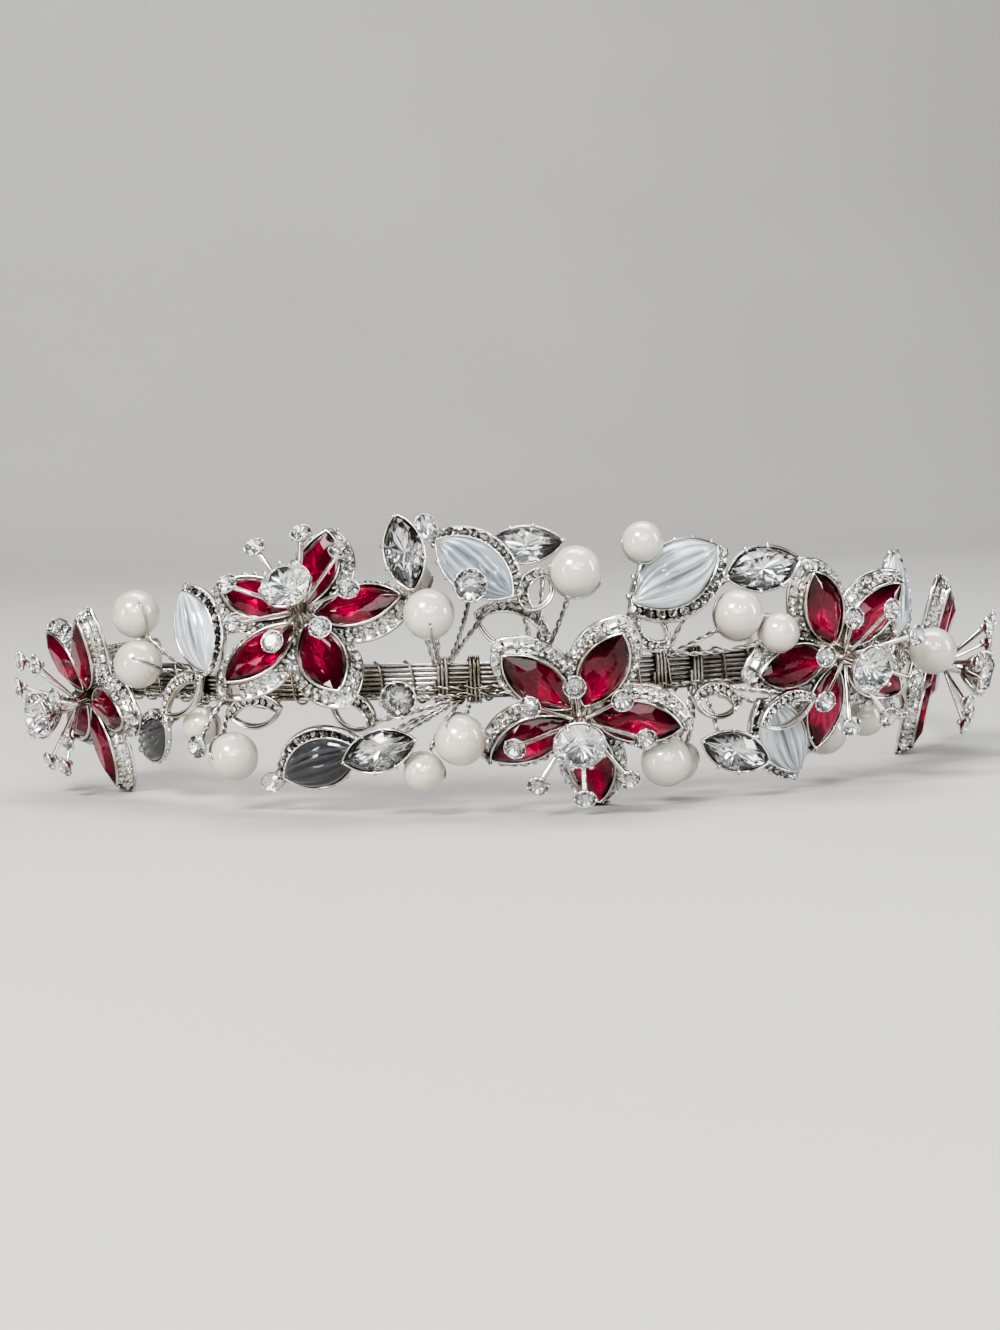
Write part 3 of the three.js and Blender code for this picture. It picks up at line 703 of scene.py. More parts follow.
def laid_wires_tree():
    """Wires side by side along the band, each with a wander of its own"""
    tree = Tree("laid_wires", {
        "Wire radius": ("Float", 0.35),
        "Wires": ("Int", 8),
        "Pitch": ("Float", 0.75),
        "Steps": ("Int", 120),
        "Sides": ("Int", 10),
        "Slack": ("Float", 0.1),
        "Slack size": ("Float", 0.1),
        "Seed": ("Float", 3.0),
        **FINISH_INPUTS,
    })
    ask = tree.inputs
    path = tree.node("GeometryNodeMeshToCurve", {"Mesh": ask["Geometry"]})[0]
    path = tree.node("GeometryNodeResampleCurve", {"Curve": path, "Count": ask["Steps"]}, mode="COUNT")[0]
    copies = tree.node(
        "GeometryNodeDuplicateElements", {"Geometry": path, "Amount": ask["Wires"]}, domain="SPLINE"
    )
    index = copies["Duplicate Index"]
    middle = tree.reckon("MULTIPLY", tree.reckon("SUBTRACT", ask["Wires"], 1.0), 0.5)
    height = tree.reckon("MULTIPLY", tree.reckon("SUBTRACT", index, middle), ask["Pitch"])
    rise = tree.node("ShaderNodeCombineXYZ", {"Z": height})[0]
    offset = tree.vector("ADD", rise, slack_offset(tree, index))
    laid = tree.node("GeometryNodeSetPosition", {"Geometry": copies["Geometry"], "Offset": offset})[0]
    return swept(tree, laid)


def set_along_tree():
    """Stones or balls set along rows, each standing square on the setting below it"""
    tree = Tree("set_along_rows", {
        "Setting": ("Object", None),
        "Stone": ("Object", None),
        "Pitch": ("Float", 1.2),
        "Size": ("Float", 1.15),
        "Lift": ("Float", 0.0),
        "Tilt": ("Float", 0.1),
        "Size change": ("Float", 0.06),
        "Seed": ("Int", 1),
        **FINISH_INPUTS,
    })
    ask = tree.inputs
    path = tree.node("GeometryNodeMeshToCurve", {"Mesh": ask["Geometry"]})[0]
    row = tree.node("GeometryNodeResampleCurve", {"Curve": path, "Length": ask["Pitch"]}, mode="LENGTH")[0]
    setting = tree.node("GeometryNodeObjectInfo", {"Object": ask["Setting"]})["Geometry"]
    facing = tree.node(
        "GeometryNodeSampleNearestSurface",
        {"Mesh": setting, "Value": tree.node("GeometryNodeInputNormal")[0]},
        data_type="FLOAT_VECTOR",
    )[0]
    seats = tree.node(
        "GeometryNodeSetPosition", {"Geometry": row, "Offset": tree.scaled(facing, ask["Lift"])}
    )[0]
    upright = tree.node("FunctionNodeAlignRotationToVector", {"Vector": facing}, axis="Z")[0]
    tilt = tree.node("ShaderNodeCombineXYZ", {"X": ask["Tilt"], "Y": ask["Tilt"], "Z": math.pi})[0]
    chance = tree.node(
        "FunctionNodeRandomValue",
        {0: tree.scaled(tilt, -1.0), 1: tilt, "Seed": ask["Seed"]},
        data_type="FLOAT_VECTOR",
    )[0]
    tipped = tree.node(
        "FunctionNodeRotateRotation",
        {"Rotation": upright, "Rotate By": tree.node("FunctionNodeEulerToRotation", {"Euler": chance})[0]},
        rotation_space="LOCAL",
    )[0]
    change = tree.node(
        "FunctionNodeRandomValue",
        {
            2: tree.reckon("SUBTRACT", 1.0, ask["Size change"]),
            3: tree.reckon("ADD", 1.0, ask["Size change"]),
            "Seed": tree.reckon("ADD", ask["Seed"], 5.0),
        },
        data_type="FLOAT",
    )[1]
    size = tree.reckon("MULTIPLY", tree.reckon("MULTIPLY", ask["Size"], tree.attribute("width")), change)
    stone = tree.node("GeometryNodeObjectInfo", {"Object": ask["Stone"], "As Instance": True})["Geometry"]
    stones = tree.node(
        "GeometryNodeInstanceOnPoints",
        {
            "Points": seats,
            "Instance": stone,
            "Rotation": tipped,
            "Scale": tree.node("ShaderNodeCombineXYZ", {"X": size, "Y": size, "Z": size})[0],
        },
    )[0]
    return tree.finish(stones)


def round_axis_tree():
    """Copies of a shape round the z axis"""
    tree = Tree("round_an_axis", {
        "Count": ("Int", 5),
        "Start": ("Float", 0.0),
        "Unevenness": ("Float", 0.0),
        "Seed": ("Int", 1),
        **FINISH_INPUTS,
    })
    ask = tree.inputs
    places = tree.node("GeometryNodePoints", {"Count": ask["Count"]})[0]
    step = tree.reckon("DIVIDE", 2 * math.pi, ask["Count"])
    angle = tree.reckon("MULTIPLY", tree.node("GeometryNodeInputIndex")[0], step)
    uneven = tree.node(
        "FunctionNodeRandomValue",
        {
            2: tree.reckon("MULTIPLY", ask["Unevenness"], -1.0),
            3: ask["Unevenness"],
            "Seed": ask["Seed"],
        },
        data_type="FLOAT",
    )[1]
    angle = tree.reckon("ADD", tree.reckon("ADD", angle, ask["Start"]), uneven)
    turned_to = tree.node("ShaderNodeCombineXYZ", {"X": uneven, "Z": angle})[0]
    whole = tree.node("GeometryNodeGeometryToInstance", {"Geometry": ask["Geometry"]})[0]
    copies = tree.node(
        "GeometryNodeInstanceOnPoints",
        {
            "Points": places,
            "Instance": whole,
            "Rotation": tree.node("FunctionNodeEulerToRotation", {"Euler": turned_to})[0],
        },
    )[0]
    return tree.finish(copies)


TWISTED = coil_tree("twisted_wires", "MINIMUM_TWIST")
WOUND = coil_tree("wound_round_the_band", "Z_UP")
LAID = laid_wires_tree()
SET_ALONG = set_along_tree()
ROUND_AXIS = round_axis_tree()


def grown(source, tree, place=None, **sizes):
    """The plain mesh that a tree makes of a source, laid in its place"""
    base = bpy.data.objects.new("growing", source)
    scene.collection.objects.link(base)
    modifier = base.modifiers.new("tree", "NODES")
    modifier.node_group = tree
    sizes = {key.replace("_", " "): value for key, value in sizes.items()}
    sizes.setdefault("Material", SILVER)
    sizes.setdefault("Backing", FOIL)
    for item in tree.interface.items_tree:
        if item.in_out == "INPUT" and item.name in sizes:
            modifier[item.identifier] = sizes.pop(item.name)
    if sizes:
        raise ValueError(f"{tree.name} has no input {sorted(sizes)}")
    graph = bpy.context.evaluated_depsgraph_get()
    mesh = bpy.data.meshes.new_from_object(base.evaluated_get(graph), depsgraph=graph)
    bpy.data.objects.remove(base)
    if place is not None:
        mesh.transform(place)
    return mesh


HELPERS = []


def hidden_object(name, mesh):
    """A shape that the trees repeat or read, taken away before the end"""
    made = bpy.data.objects.new(name, mesh)
    scene.collection.objects.link(made)
    HELPERS.append(made)
    return made


def piece(name, meshes, stands_for):
    """Joins meshes of the arch frame into one piece, where the arch lies"""
    build = bmesh.new()
    finishes = []
    for mesh in meshes:
        first = len(build.faces)
        build.from_mesh(mesh)
        build.faces.ensure_lookup_table()
        worn = []
        for finish in mesh.materials:
            if finish not in finishes:
                finishes.append(finish)
            worn.append(finishes.index(finish))
        for face in build.faces[first:]:
            face.material_index = worn[face.material_index]
    joined = bpy.data.meshes.new(name)
    build.to_mesh(joined)
    build.free()
    for finish in finishes:
        joined.materials.append(finish)
    joined.transform(ARCH)
    made = bpy.data.objects.new(name, joined)
    scene.collection.objects.link(made)
    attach(made, "root")
    if stands_for:
        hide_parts(*stands_for)


def copy_at(mesh, place):
    copy = mesh.copy()
    copy.transform(place)
    return copy


# The band

FRONT_RUN = math.radians(FRONT_HALF_ANGLE) * BAND_RADIUS
FULL_RUN = FRONT_RUN + math.radians(ARM_TURN) * ARM_RADIUS


def share_of(angle):
    """The share of the band's run at an angle of the round front"""
    return math.radians(angle) * BAND_RADIUS / FULL_RUN


def band_path(first=-1.0, last=1.0, steps=120, out=0.0, height=0.0):
    """Points along the band, from the end of the left arm at -1 to the end of the right arm at 1"""
    bend = math.radians(FRONT_HALF_ANGLE)
    points = []
    for k in range(steps + 1):
        run = (first + (last - first) * k / steps) * FULL_RUN
        side = 1 if run > 0 else -1
        if abs(run) <= FRONT_RUN:
            heading, radius, centre = run / BAND_RADIUS, BAND_RADIUS, Vector((0, 0, 0))
        else:
            heading, radius = side * (bend + (abs(run) - FRONT_RUN) / ARM_RADIUS), ARM_RADIUS
            centre = Vector((side * math.sin(bend), -math.cos(bend), 0)) * (BAND_RADIUS - ARM_RADIUS)
        outward = Vector((math.sin(heading), -math.cos(heading), 0))
        points.append(centre + outward * (radius + out) + Vector((0, 0, height)))
    return points


def end_lug(side):
    """A flat lug with a hole, where the wires are pressed together at the end of an arm"""
    middle = LUG["length"] - LUG["width"] / 2
    half, edge, lip = LUG["thickness"] / 2, LUG["edge"], LUG["lip"]
    count = 32

    def ring(kind, inset, z):
        points = []
        for k in range(count):
            a = 2 * math.pi * (k + 0.5) / count
            x, y = math.cos(a), math.sin(a)
            if kind == "hole":
                reach = LUG["hole"] / 2 + inset
            else:
                reach = LUG["width"] / 2 - inset
                if x < 0:
                    reach = min(reach / max(abs(y), 1e-6), (middle + 1 - inset) / abs(x))
            points.append((middle + x * reach, y * reach, z))
        return points

    rings = [
        ring("hole", 0, -half + lip), ring("hole", lip, -half), ring("edge", edge, -half),
        ring("edge", 0, -half + edge), ring("edge", 0, half - edge), ring("edge", edge, half),
        ring("hole", lip, half), ring("hole", 0, half - lip),
    ]
    mesh = mesh_of(*loft(rings, closed=True), [SILVER])
    path = band_path(steps=200)
    point = path[0] if side < 0 else path[-1]
    along = (path[0] - path[1] if side < 0 else path[-1] - path[-2]).normalized()
    across = Vector((0, 0, 1))
    basis = Matrix((along, across, along.cross(across))).transposed().to_4x4()
    mesh.transform(Matrix.Translation(point) @ basis)
    return mesh


def wound_wire(path, radius, reach_out, reach_up, turns, **sizes):
    """Wire wound round the band's flat row of wires"""
    return grown(
        path_mesh([path]), WOUND, Wire_radius=radius, Strands=1, Reach_out=reach_out, Reach_up=reach_up,
        Turns=turns, Sides=6, Material=BINDING, **sizes,
    )


def sleeve_at(angle, seed):
    """Close turns of wire round the band, where a stem starts"""
    radius = SLEEVE["wire"]
    half = SLEEVE["length"] / 2 - radius
    spread = half / FULL_RUN
    path = band_path(share_of(angle) - spread, share_of(angle) + spread, 12)
    return wound_wire(
        path, radius, SLEEVE["reach_out"], SLEEVE["reach_up"], 2 * half / (2.05 * radius), Corner=0.55,
        Steps=int(56 * half / radius), Slack=0.12, Slack_size=0.9, Seed=float(seed),
    )


def make_band():
    front_wires = grown(
        path_mesh([band_path()]), LAID, Wire_radius=BAND_WIRE["radius"], Wires=WIRES, Pitch=WIRE_PITCH,
        Steps=170, Slack=0.36, Slack_size=0.11, Material=WIRE_SILVER,
    )
    # A back row of wires in the darker tarnished finish: painted shade that shows in the gaps between the
    # front wires
    back_wires = grown(
        path_mesh([band_path(out=-BAND_WIRE["back"])]), LAID, Wire_radius=BAND_WIRE["back_radius"],
        Wires=WIRES - 1, Pitch=WIRE_PITCH, Steps=150, Sides=6, Slack=0.2, Slack_size=0.12, Seed=9.0,
        Material=BINDING,
    )
    piece("band_wires", [front_wires, back_wires, end_lug(-1), end_lug(1)], ["band"])
    bindings = [wound_wire(
        band_path(-0.985, 0.985), BINDING_WIRE["radius"], BINDING_WIRE["reach_out"], BINDING_REACH_UP,
        FULL_RUN * 2 / BINDING_WIRE["pitch"], Corner=0.5, Steps=3300, Slack=0.9, Slack_size=0.13, Seed=2.0,
    )]
    for first, last, turns, height, seed in BAND_TWISTS:
        path = band_path(share_of(first), share_of(last), 40, BAND_TWIST["out"], height)
        bindings.append(grown(
            path_mesh([path]), TWISTED, Wire_radius=BAND_TWIST["wire"], Strands=2,
            Reach_out=BAND_TWIST["reach"], Reach_up=BAND_TWIST["reach"], Turns=float(turns), Steps=160,
            Sides=6, Slack=0.9, Slack_size=0.16, Seed=float(seed), Material=WIRE_SILVER,
        ))
    for side in (-1, 1):
        bindings.append(wound_wire(
            band_path(side * 0.975, side * 0.998, 10), BINDING_WIRE["end_radius"],
            BINDING_WIRE["end_reach_out"], BINDING_REACH_UP, 7.0, Corner=0.5, Steps=420, Slack=0.1, Seed=3.0,
        ))
    piece("band_bindings", bindings, [])


# The flowers

def petal_ring(share, grow=0.0, deeper=0.0, count=OVAL_POINTS):
    """An outline round the petal, from its foot at share 0 to its stone's rim at 1, moved off it by grow"""
    wider = 2 * PETAL["slope_out"] * grow
    length = PETAL["length"] + (PETAL["rim_length"] - PETAL["length"]) * share + wider
    width = PETAL["width"] + (PETAL["rim_width"] - PETAL["width"]) * share + wider
    height = PETAL["height"] * share + PETAL["slope_up"] * grow - deeper
    return [(x + PETAL["outward"] * (1 - share), y, height) for x, y in navette_outline(length, width, count)]


def petal_shell():
    """One petal of the setting: a polished foot, a sunk slope for the stones, the rim and the seat in it"""
    steps = (
        (0, -0.35), (0, -0.02, -0.02), (0.06, 0.05), (0.12, 0.05), (0.16, -0.06), (0.17, -0.3), (0.5, -0.32),
        (0.86, -0.3), (0.88, -0.08), (0.92, 0.04), (1, 0.04), (1, -0.1, -0.14), (1, -0.28, -0.1),
        (1, -0.4, 0.1), (1, -0.5, 1.7),
    )
    points, faces = loft([petal_ring(*step) for step in steps])
    # The sunk slope wears the dark bed finish, painted shade between its stones
    slope = range(5 * OVAL_POINTS, 7 * OVAL_POINTS)
    return mesh_of(points, faces, [SILVER, PAVE_BED_PAINTED_SHADE], [int(k in slope) for k in range(len(faces))])


def petal_row(share, grow=-0.05, back=-4.9, front=6.4):
    """A row round the petal's slope, open towards the flower's middle and at the tip"""
    ring = petal_ring(share, grow, count=2 * OVAL_POINTS)
    sides = ring[:OVAL_POINTS + 1], ring[OVAL_POINTS + 1:] + ring[:1]
    return [[p for p in side if back < p[0] < front] for side in sides]


def petal_frame():
    return Matrix.Translation((PETAL["middle"], 0, 0)) @ turn("Y", -PETAL["lift"])


def red_stone_mesh():
    """The red marquise of a petal"""
    slim = RED_STONE["width"] / RED_STONE["length"]
    mesh = cut_stone(
        lambda a: navette_edge(a, slim), RED_STONE["length"], RED_STONE["crown"], RED_STONE["pavilion"], RUBY,
        RUBY_FOIL, table=0.6,
    )
    mesh.transform(Matrix.Translation((0, 0, RED_STONE["seat"])))
    return mesh


def strip_section(middle, lean, half_width, half_depth):
    """Eight points round a flat strip in the xz plane that runs along lean"""
    up = Vector((-lean.z, 0, lean.x))
    section = []
    for k in range(8):
        c, s = math.cos(math.pi * (k + 0.5) / 4), math.sin(math.pi * (k + 0.5) / 4)
        section.append(middle + Vector((0, c * half_width, 0)) + up * (s * half_depth))
    return section


STAMEN_SEAT = Matrix.Translation((STAMEN["ring"], 0, STAMEN["rise"])) @ turn("Y", STAMEN["lean"])


def stamen_silver():
    """A flat curved strip with a cup at its end"""
    start = Vector((1, 0, STAMEN["start"]))
    bend = Vector((STAMEN["ring"] / 2, 0, STAMEN["arch"]))
    end = Vector((STAMEN["ring"], 0, STAMEN["rise"]))
    steps = 8
    rings = []
    for k, middle in enumerate(bow(start, bend, end, steps)):
        t = k / steps
        lean = ((bend - start) * (1 - t) + (end - bend) * t).normalized()
        half_width = STAMEN["half_width"] - STAMEN["waist"] * math.sin(math.pi * t)
        rings.append(strip_section(middle, lean, half_width, STAMEN["half_depth"]))
    strip = mesh_of(*loft(rings), [SILVER])
    profile = [
        (0.02, -1.25), (0.5, -1.15), (0.62, -0.8), (0.52, -0.62), (0.8, -0.5), (1.68, 0.12), (1.78, 0.3),
        (1.76, 0.55), (1.68, 0.55), (1.62, 0.3), (1.5, 0.1), (0.5, -0.45), (0.02, -0.45),
    ]
    cup = turned(profile, 20)
    cup.transform(STAMEN_SEAT)
    claw = ball_mesh(0.26, 6, 4, 1.6)
    claw.transform(Matrix.Translation((1.66, 0, 0.45)) @ turn("Y", -20))
    return [strip, cup, grown(claw, ROUND_AXIS, STAMEN_SEAT, Count=6, Start=0.4)]


def stamen_stone():
    stone = cut_stone(round_outline, 2 * STAMEN["stone"], 0.62, 0.75, CRYSTAL, FOIL)
    stone.transform(STAMEN_SEAT @ Matrix.Translation((0, 0, 0.42)))
    return stone


def centre_claw():
    """One claw of the centre stone: up from the mast, round under the girdle and over it"""
    rings = []
    for k, (x, z, half_width, half_depth) in enumerate(CENTRE_CLAW):
        before, after = CENTRE_CLAW[max(k - 1, 0)], CENTRE_CLAW[min(k + 1, len(CENTRE_CLAW) - 1)]
        lean = Vector((after[0] - before[0], 0, after[1] - before[1])).normalized()
        rings.append(strip_section(Vector((x, 0, z)), lean, half_width, half_depth))
    return mesh_of(*loft(rings), [SILVER])


def wire(paths, radius, closed=False, material=SILVER, steps=40):
    return grown(
        path_mesh(paths, closed), TWISTED, Wire_radius=radius, Strands=1, Reach_out=0.0, Reach_up=0.0,
        Steps=steps, Sides=6, Material=material,
    )


def flower_heart():
    """Hub, mast and the basket of claws that holds the centre stone"""
    hub = turned([(0.02, -1.3), (3.6, -1.3), (4.0, -0.9), (4.0, 0.3), (3.6, 0.6), (0.02, 0.7)], 32)
    profile = [
        (0.02, 0), (1.5, 0.2), (1.25, 1.2), (1.2, 4.6), (1.45, 5.0), (1.2, 5.4), (1.2, 8.2), (1.5, 8.6),
        (1.9, 9.3), (0.02, 9.2),
    ]
    mast = turned(profile, 24)
    between = math.radians(STAMEN["turn"] + 180 / STAMEN["count"])
    claws = grown(centre_claw(), ROUND_AXIS, Count=STAMEN["count"], Start=between, Unevenness=0.02)
    rings = [wire([circle(3.05, 10.3, 32)], 0.24, True), wire([circle(3.92, 11.6, 32)], 0.22, True)]
    return [hub, mast, claws, *rings]


def set_row(rows, setting, stone, pitch, size, widths=None, **more):
    """Stones or balls along rows on a setting"""
    path = path_mesh(rows, widths=widths)
    return grown(path, SET_ALONG, Setting=setting, Stone=stone, Pitch=pitch, Size=size, **more)


SMALL_STONE = hidden_object("pave_stone", small_stone())
SMALL_BALL = hidden_object("ball", ball_mesh(1.0, 6, 4))
BALL = hidden_object("round_ball", ball_mesh(1.0, 10, 6))
PETAL_SHELL = hidden_object("petal_shell", petal_shell())


def petal_pave(seed):
    """Stones and balls of one petal's slope"""
    stones = []
    for k, (share, pitch, size) in enumerate(PETAL_STONES):
        stones.append(set_row(
            petal_row(share), PETAL_SHELL, SMALL_STONE, pitch, size, Lift=0.12, Tilt=0.2, Size_change=0.1,
            Seed=seed + k, Material=CRYSTAL,
        ))
    balls = []
    for share, pitch, radius in PETAL_BALLS:
        row = petal_row(share, -0.02)
        balls.append(set_row(row, PETAL_SHELL, SMALL_BALL, pitch, radius, Size_change=0.2, Seed=seed + 20))
    low, high = petal_ring(0.16)[0], petal_ring(0.84)[0]
    seat = Matrix.Translation([(a + b) / 2 for a, b in zip(low, high)]) @ turn("Y", TIP_STONE["tilt"])
    tip = cut_stone(
        round_outline, TIP_STONE["across"], TIP_STONE["crown"], TIP_STONE["pavilion"], CRYSTAL, FOIL
    )
    tip.transform(seat @ Matrix.Translation((-TIP_STONE["sunk"], 0, -TIP_STONE["sunk"])))
    stones.append(tip)
    claw = ball_mesh(0.2, 6, 4, 1.2)
    claw.transform(Matrix.Translation((1.34, 0, -0.02)))
    balls.append(grown(claw, ROUND_AXIS, seat, Count=5, Start=0.3))
    return stones, balls


def make_flower(name, flower, seed):
    place = placing(*(flower[key] for key in ("angle", "height", "out", "yaw", "pitch", "spin")))
    lift = petal_frame()
    stones, balls = petal_pave(seed)
    silver = [copy_at(PETAL_SHELL.data, lift)] + [copy_at(mesh, lift) for mesh in balls]
    petals = dict(Count=PETAL["count"], Unevenness=0.02, Seed=seed)
    stamens = dict(Count=STAMEN["count"], Start=math.radians(STAMEN["turn"]), Unevenness=0.015, Seed=seed)
    ringed = [grown(mesh, ROUND_AXIS, place, **petals) for mesh in silver]
    ringed += [grown(mesh, ROUND_AXIS, place, **stamens) for mesh in stamen_silver()]
    for mesh in flower_heart():
        mesh.transform(place)
        ringed.append(mesh)
    root = spot(flower["angle"], flower["root"], ROOT_WIRE["out"])
    back = place @ Vector((0, 0, -ROOT_WIRE["back"]))
    ringed.append(grown(
        path_mesh([[root, root.lerp(back, 0.5), back]]), TWISTED, Wire_radius=ROOT_WIRE["wire"], Strands=3,
        Reach_out=ROOT_WIRE["reach"], Reach_up=ROOT_WIRE["reach"], Turns=ROOT_WIRE["turns"], Steps=30,
        Material=BINDING,
    ))
    ringed.append(sleeve_at(flower["angle"], seed))
    piece(name + "_silver", ringed, [name])

    clear = [grown(copy_at(mesh, lift), ROUND_AXIS, place, Material=CRYSTAL, **petals) for mesh in stones]
    clear.append(grown(stamen_stone(), ROUND_AXIS, place, Material=CRYSTAL, **stamens))
    centre = cut_stone(
        round_outline, 2 * CENTRE["radius"], CENTRE["crown"], CENTRE["pavilion"], CRYSTAL, FOIL, sides=10
    )
    centre.transform(place @ Matrix.Translation((0, 0, CENTRE["girdle"])))
    clear.append(centre)
    piece(name + "_crystals", clear, [])

    red = red_stone_mesh()
    for k in range(PETAL["count"]):
        stone = copy_at(red, place @ turn("Z", 360 / PETAL["count"] * k) @ lift)
        node = f"{name}_red_stone_{k + 1}"
        piece(f"{name}_petal_{k + 1}", [stone], [node])


# The set pieces. Each lies in its own xy plane, faces +z and points along +x

def left_edge_row(length, width, dy, outside, z):
    """A row just outside the left-hand edge of a pointed oval, short of its tips"""
    points = []
    for x, y in navette_outline(length, width, 80):
        if y > -1e-6 and abs(x) < length / 2 * 0.88:
            points.append((x, y + outside + dy, z))
    return sorted(points)


def border_rows(outer, inner, shares, z, trim):
    """Rows between two pointed ovals, each (length, width, dy), on the right-hand side, and their widths"""
    rows, widths = [], []
    for share in shares:
        row = []
        for k in range(41):
            x = (2 * k / 40 - 1) * outer[0] / 2 * (1 - trim)
            edges = []
            for length, width, dy in (outer, inner):
                radius = arc_radius(length, width)
                inside = max(radius * radius - x * x, 0)
                y = max(math.sqrt(inside) - radius + width / 2, 0) if abs(x) < length / 2 else 0
                edges.append(dy - y)
            row.append((x, edges[0] + (edges[1] - edges[0]) * share, z))
            widths.append(abs(edges[1] - edges[0]))
        rows.append(row)
    most = max(widths)
    return rows, [min(1, 0.25 + 0.85 * w / most) for w in widths]


LEAF_OUTER = (LEAF["length"] + LEAF["tips"], LEAF["width"] + LEAF["border"], -LEAF["border"] / 2)
LEAF_INNER = (LEAF["length"] - 0.9, LEAF["width"], 0)


def leaf_plate():
    """The silver plate of a leaf, its top painted dark as shade between its stones"""
    length, width, dy = LEAF_OUTER
    top = LEAF["plate"]
    sizes = [(-0.5, 0.0), (0, 0.15), (0, top - 0.25), (-0.12, top - 0.02), (-0.42, top), (-0.6, top - 0.3)]
    points, faces = loft([navette_ring(length + 2 * grow, width + 2 * grow, z, dy) for grow, z in sizes])
    return mesh_of(points, faces, [SILVER, PAVE_BED_PAINTED_SHADE], [0] * (len(faces) - 1) + [1])


def leaf_glass_mesh(glass):
    """The ribbed glass of a leaf: long curved grooves that meet at both of its tips"""
    length, width = LEAF_INNER[0], LEAF_INNER[1] - 0.1
    base, dome = LEAF["plate"] - 0.3, LEAF["dome"] + 0.2
    swirl_size, groove_depth = 0.16, 0.34
    streak_along, streak_across = 0.12, 5.5
    along, across = 40, 44
    radius = arc_radius(length, width)
    points, depths, ribs = [], [], []
    for i in range(along + 1):
        x = -length / 2 * math.cos(math.pi * i / along)
        half = max(math.sqrt(radius * radius - x * x) - radius + width / 2, 0.012)
        fade = (half / (width / 2)) ** 0.6
        for j in range(across + 1):
            v = -math.cos(math.pi * j / across)
            swirl = v + swirl_size * math.sin(math.pi * x / length) * (1 - v * v)
            depth = 0
            for place, spread, size in GLASS_GROOVES:
                depth += size * math.exp(-(((swirl - place) / spread) ** 2))
            rise = (1 - abs(v) ** 2.4) ** 0.55
            z = base + dome * rise * fade - groove_depth * depth * fade
            points.append((x, v * half, z))
            depths.append(min(depth, 1) * fade)
            ribs.append((streak_along * x, streak_across * swirl, 0))
    faces = []
    row = across + 1
    for i in range(along):
        for j in range(across):
            a = i * row + j
            faces.append((a, a + row, a + row + 1, a + 1))
    low = {}
    for i in range(along + 1):
        for j in (0, across):
            x, y, _ = points[i * row + j]
            low[i, j] = len(points)
            points.append((x, y, base - 0.2))
            depths.append(0)
            ribs.append((streak_along * x, 0, 0))
    for i in range(along):
        faces.append((i * row, low[i, 0], low[i + 1, 0], (i + 1) * row))
        faces.append((i * row + across, (i + 1) * row + across, low[i + 1, across], low[i, across]))
        faces.append((low[i, 0], low[i, across], low[i + 1, across], low[i + 1, 0]))
    faces.append(tuple(range(row)) + (low[0, across], low[0, 0]))
    faces.append(tuple(along * row + j for j in reversed(range(row))) + (low[along, 0], low[along, across]))
    mesh = mesh_of(points, faces, [LEAF_GLASS[glass]])
    # How deep each point lies in the grooves, which the glass darkens as painted shade
    groove_shade = mesh.attributes.new("groove_shade", "FLOAT", "POINT")
    groove_shade.data.foreach_set("value", depths)
    course = mesh.attributes.new("ribs", "FLOAT_VECTOR", "POINT")
    course.data.foreach_set("vector", [c for rib in ribs for c in rib])
    return mesh


LEAF_PLATE = hidden_object("leaf_plate", leaf_plate())


def drop_crystal(heading):
    """The cup and stone of the drop at a leaf's tip, at a heading within the leaf"""
    drop = LEAF["drop"]
    place = Matrix.Translation((LEAF["length"] / 2 + 0.4, 0, 0)) @ turn("Z", heading)
    place = place @ Matrix.Translation((drop * 0.9, 0, 0))
    stone = cut_stone(drop_outline, 2 * drop, 0.9, 0.8, CRYSTAL, FOIL)
    stone.transform(place @ Matrix.Translation((0, 0, 1.05)))
    outline = [drop_outline(2 * math.pi * k / 32) for k in range(32)]
    rings = []
    for grow, z in ((0.4, -0.3), (0.98, 0.4), (1.1, 0.7), (1.1, 1.0), (1.03, 1.05), (0.98, 0.7), (0.4, 0.15)):
        rings.append([(x * drop * grow, y * drop * grow, z) for x, y in outline])
    cup = mesh_of(*loft(rings), [SILVER])
    cup.transform(place)
    return cup, stone


def make_leaf(item, seed):
    """Silver, clear stones and glass of one leaf"""
    top = LEAF["plate"]
    row, row_widths = border_rows(LEAF_OUTER, LEAF_INNER, (0.52,), top, 0.1)
    stones = set_row(
        row, LEAF_PLATE, SMALL_STONE, *LEAF_STONES, row_widths, Lift=0.06, Tilt=0.15, Seed=seed,
        Material=CRYSTAL,
    )
    edges, edge_widths = border_rows(LEAF_OUTER, LEAF_INNER, (0.16, 0.86), top, 0.08)
    balls = set_row(
        edges, LEAF_PLATE, SMALL_BALL, *LEAF_BALLS, edge_widths, Lift=0.06, Size_change=0.15, Seed=seed + 3
    )
    left = left_edge_row(*LEAF_OUTER, 0.12, top * 0.62)
    knobs = set_row([left], LEAF_PLATE, BALL, *LEAF_KNOBS, Seed=seed + 5)
    rim = [(x, y, top + 0.12) for x, y in navette_outline(LEAF["length"] - 0.8, LEAF["width"] + 0.15, 64)]
    silver = [LEAF_PLATE.data.copy(), balls, knobs, wire([rim], 0.2, True, steps=90)]
    clear = [stones]
    if "drop" in item:
        cup, stone = drop_crystal(item["drop"] - item["at"][5])
        silver.append(cup)
        clear.append(stone)
    return silver, clear, [leaf_glass_mesh(item["glass"])]


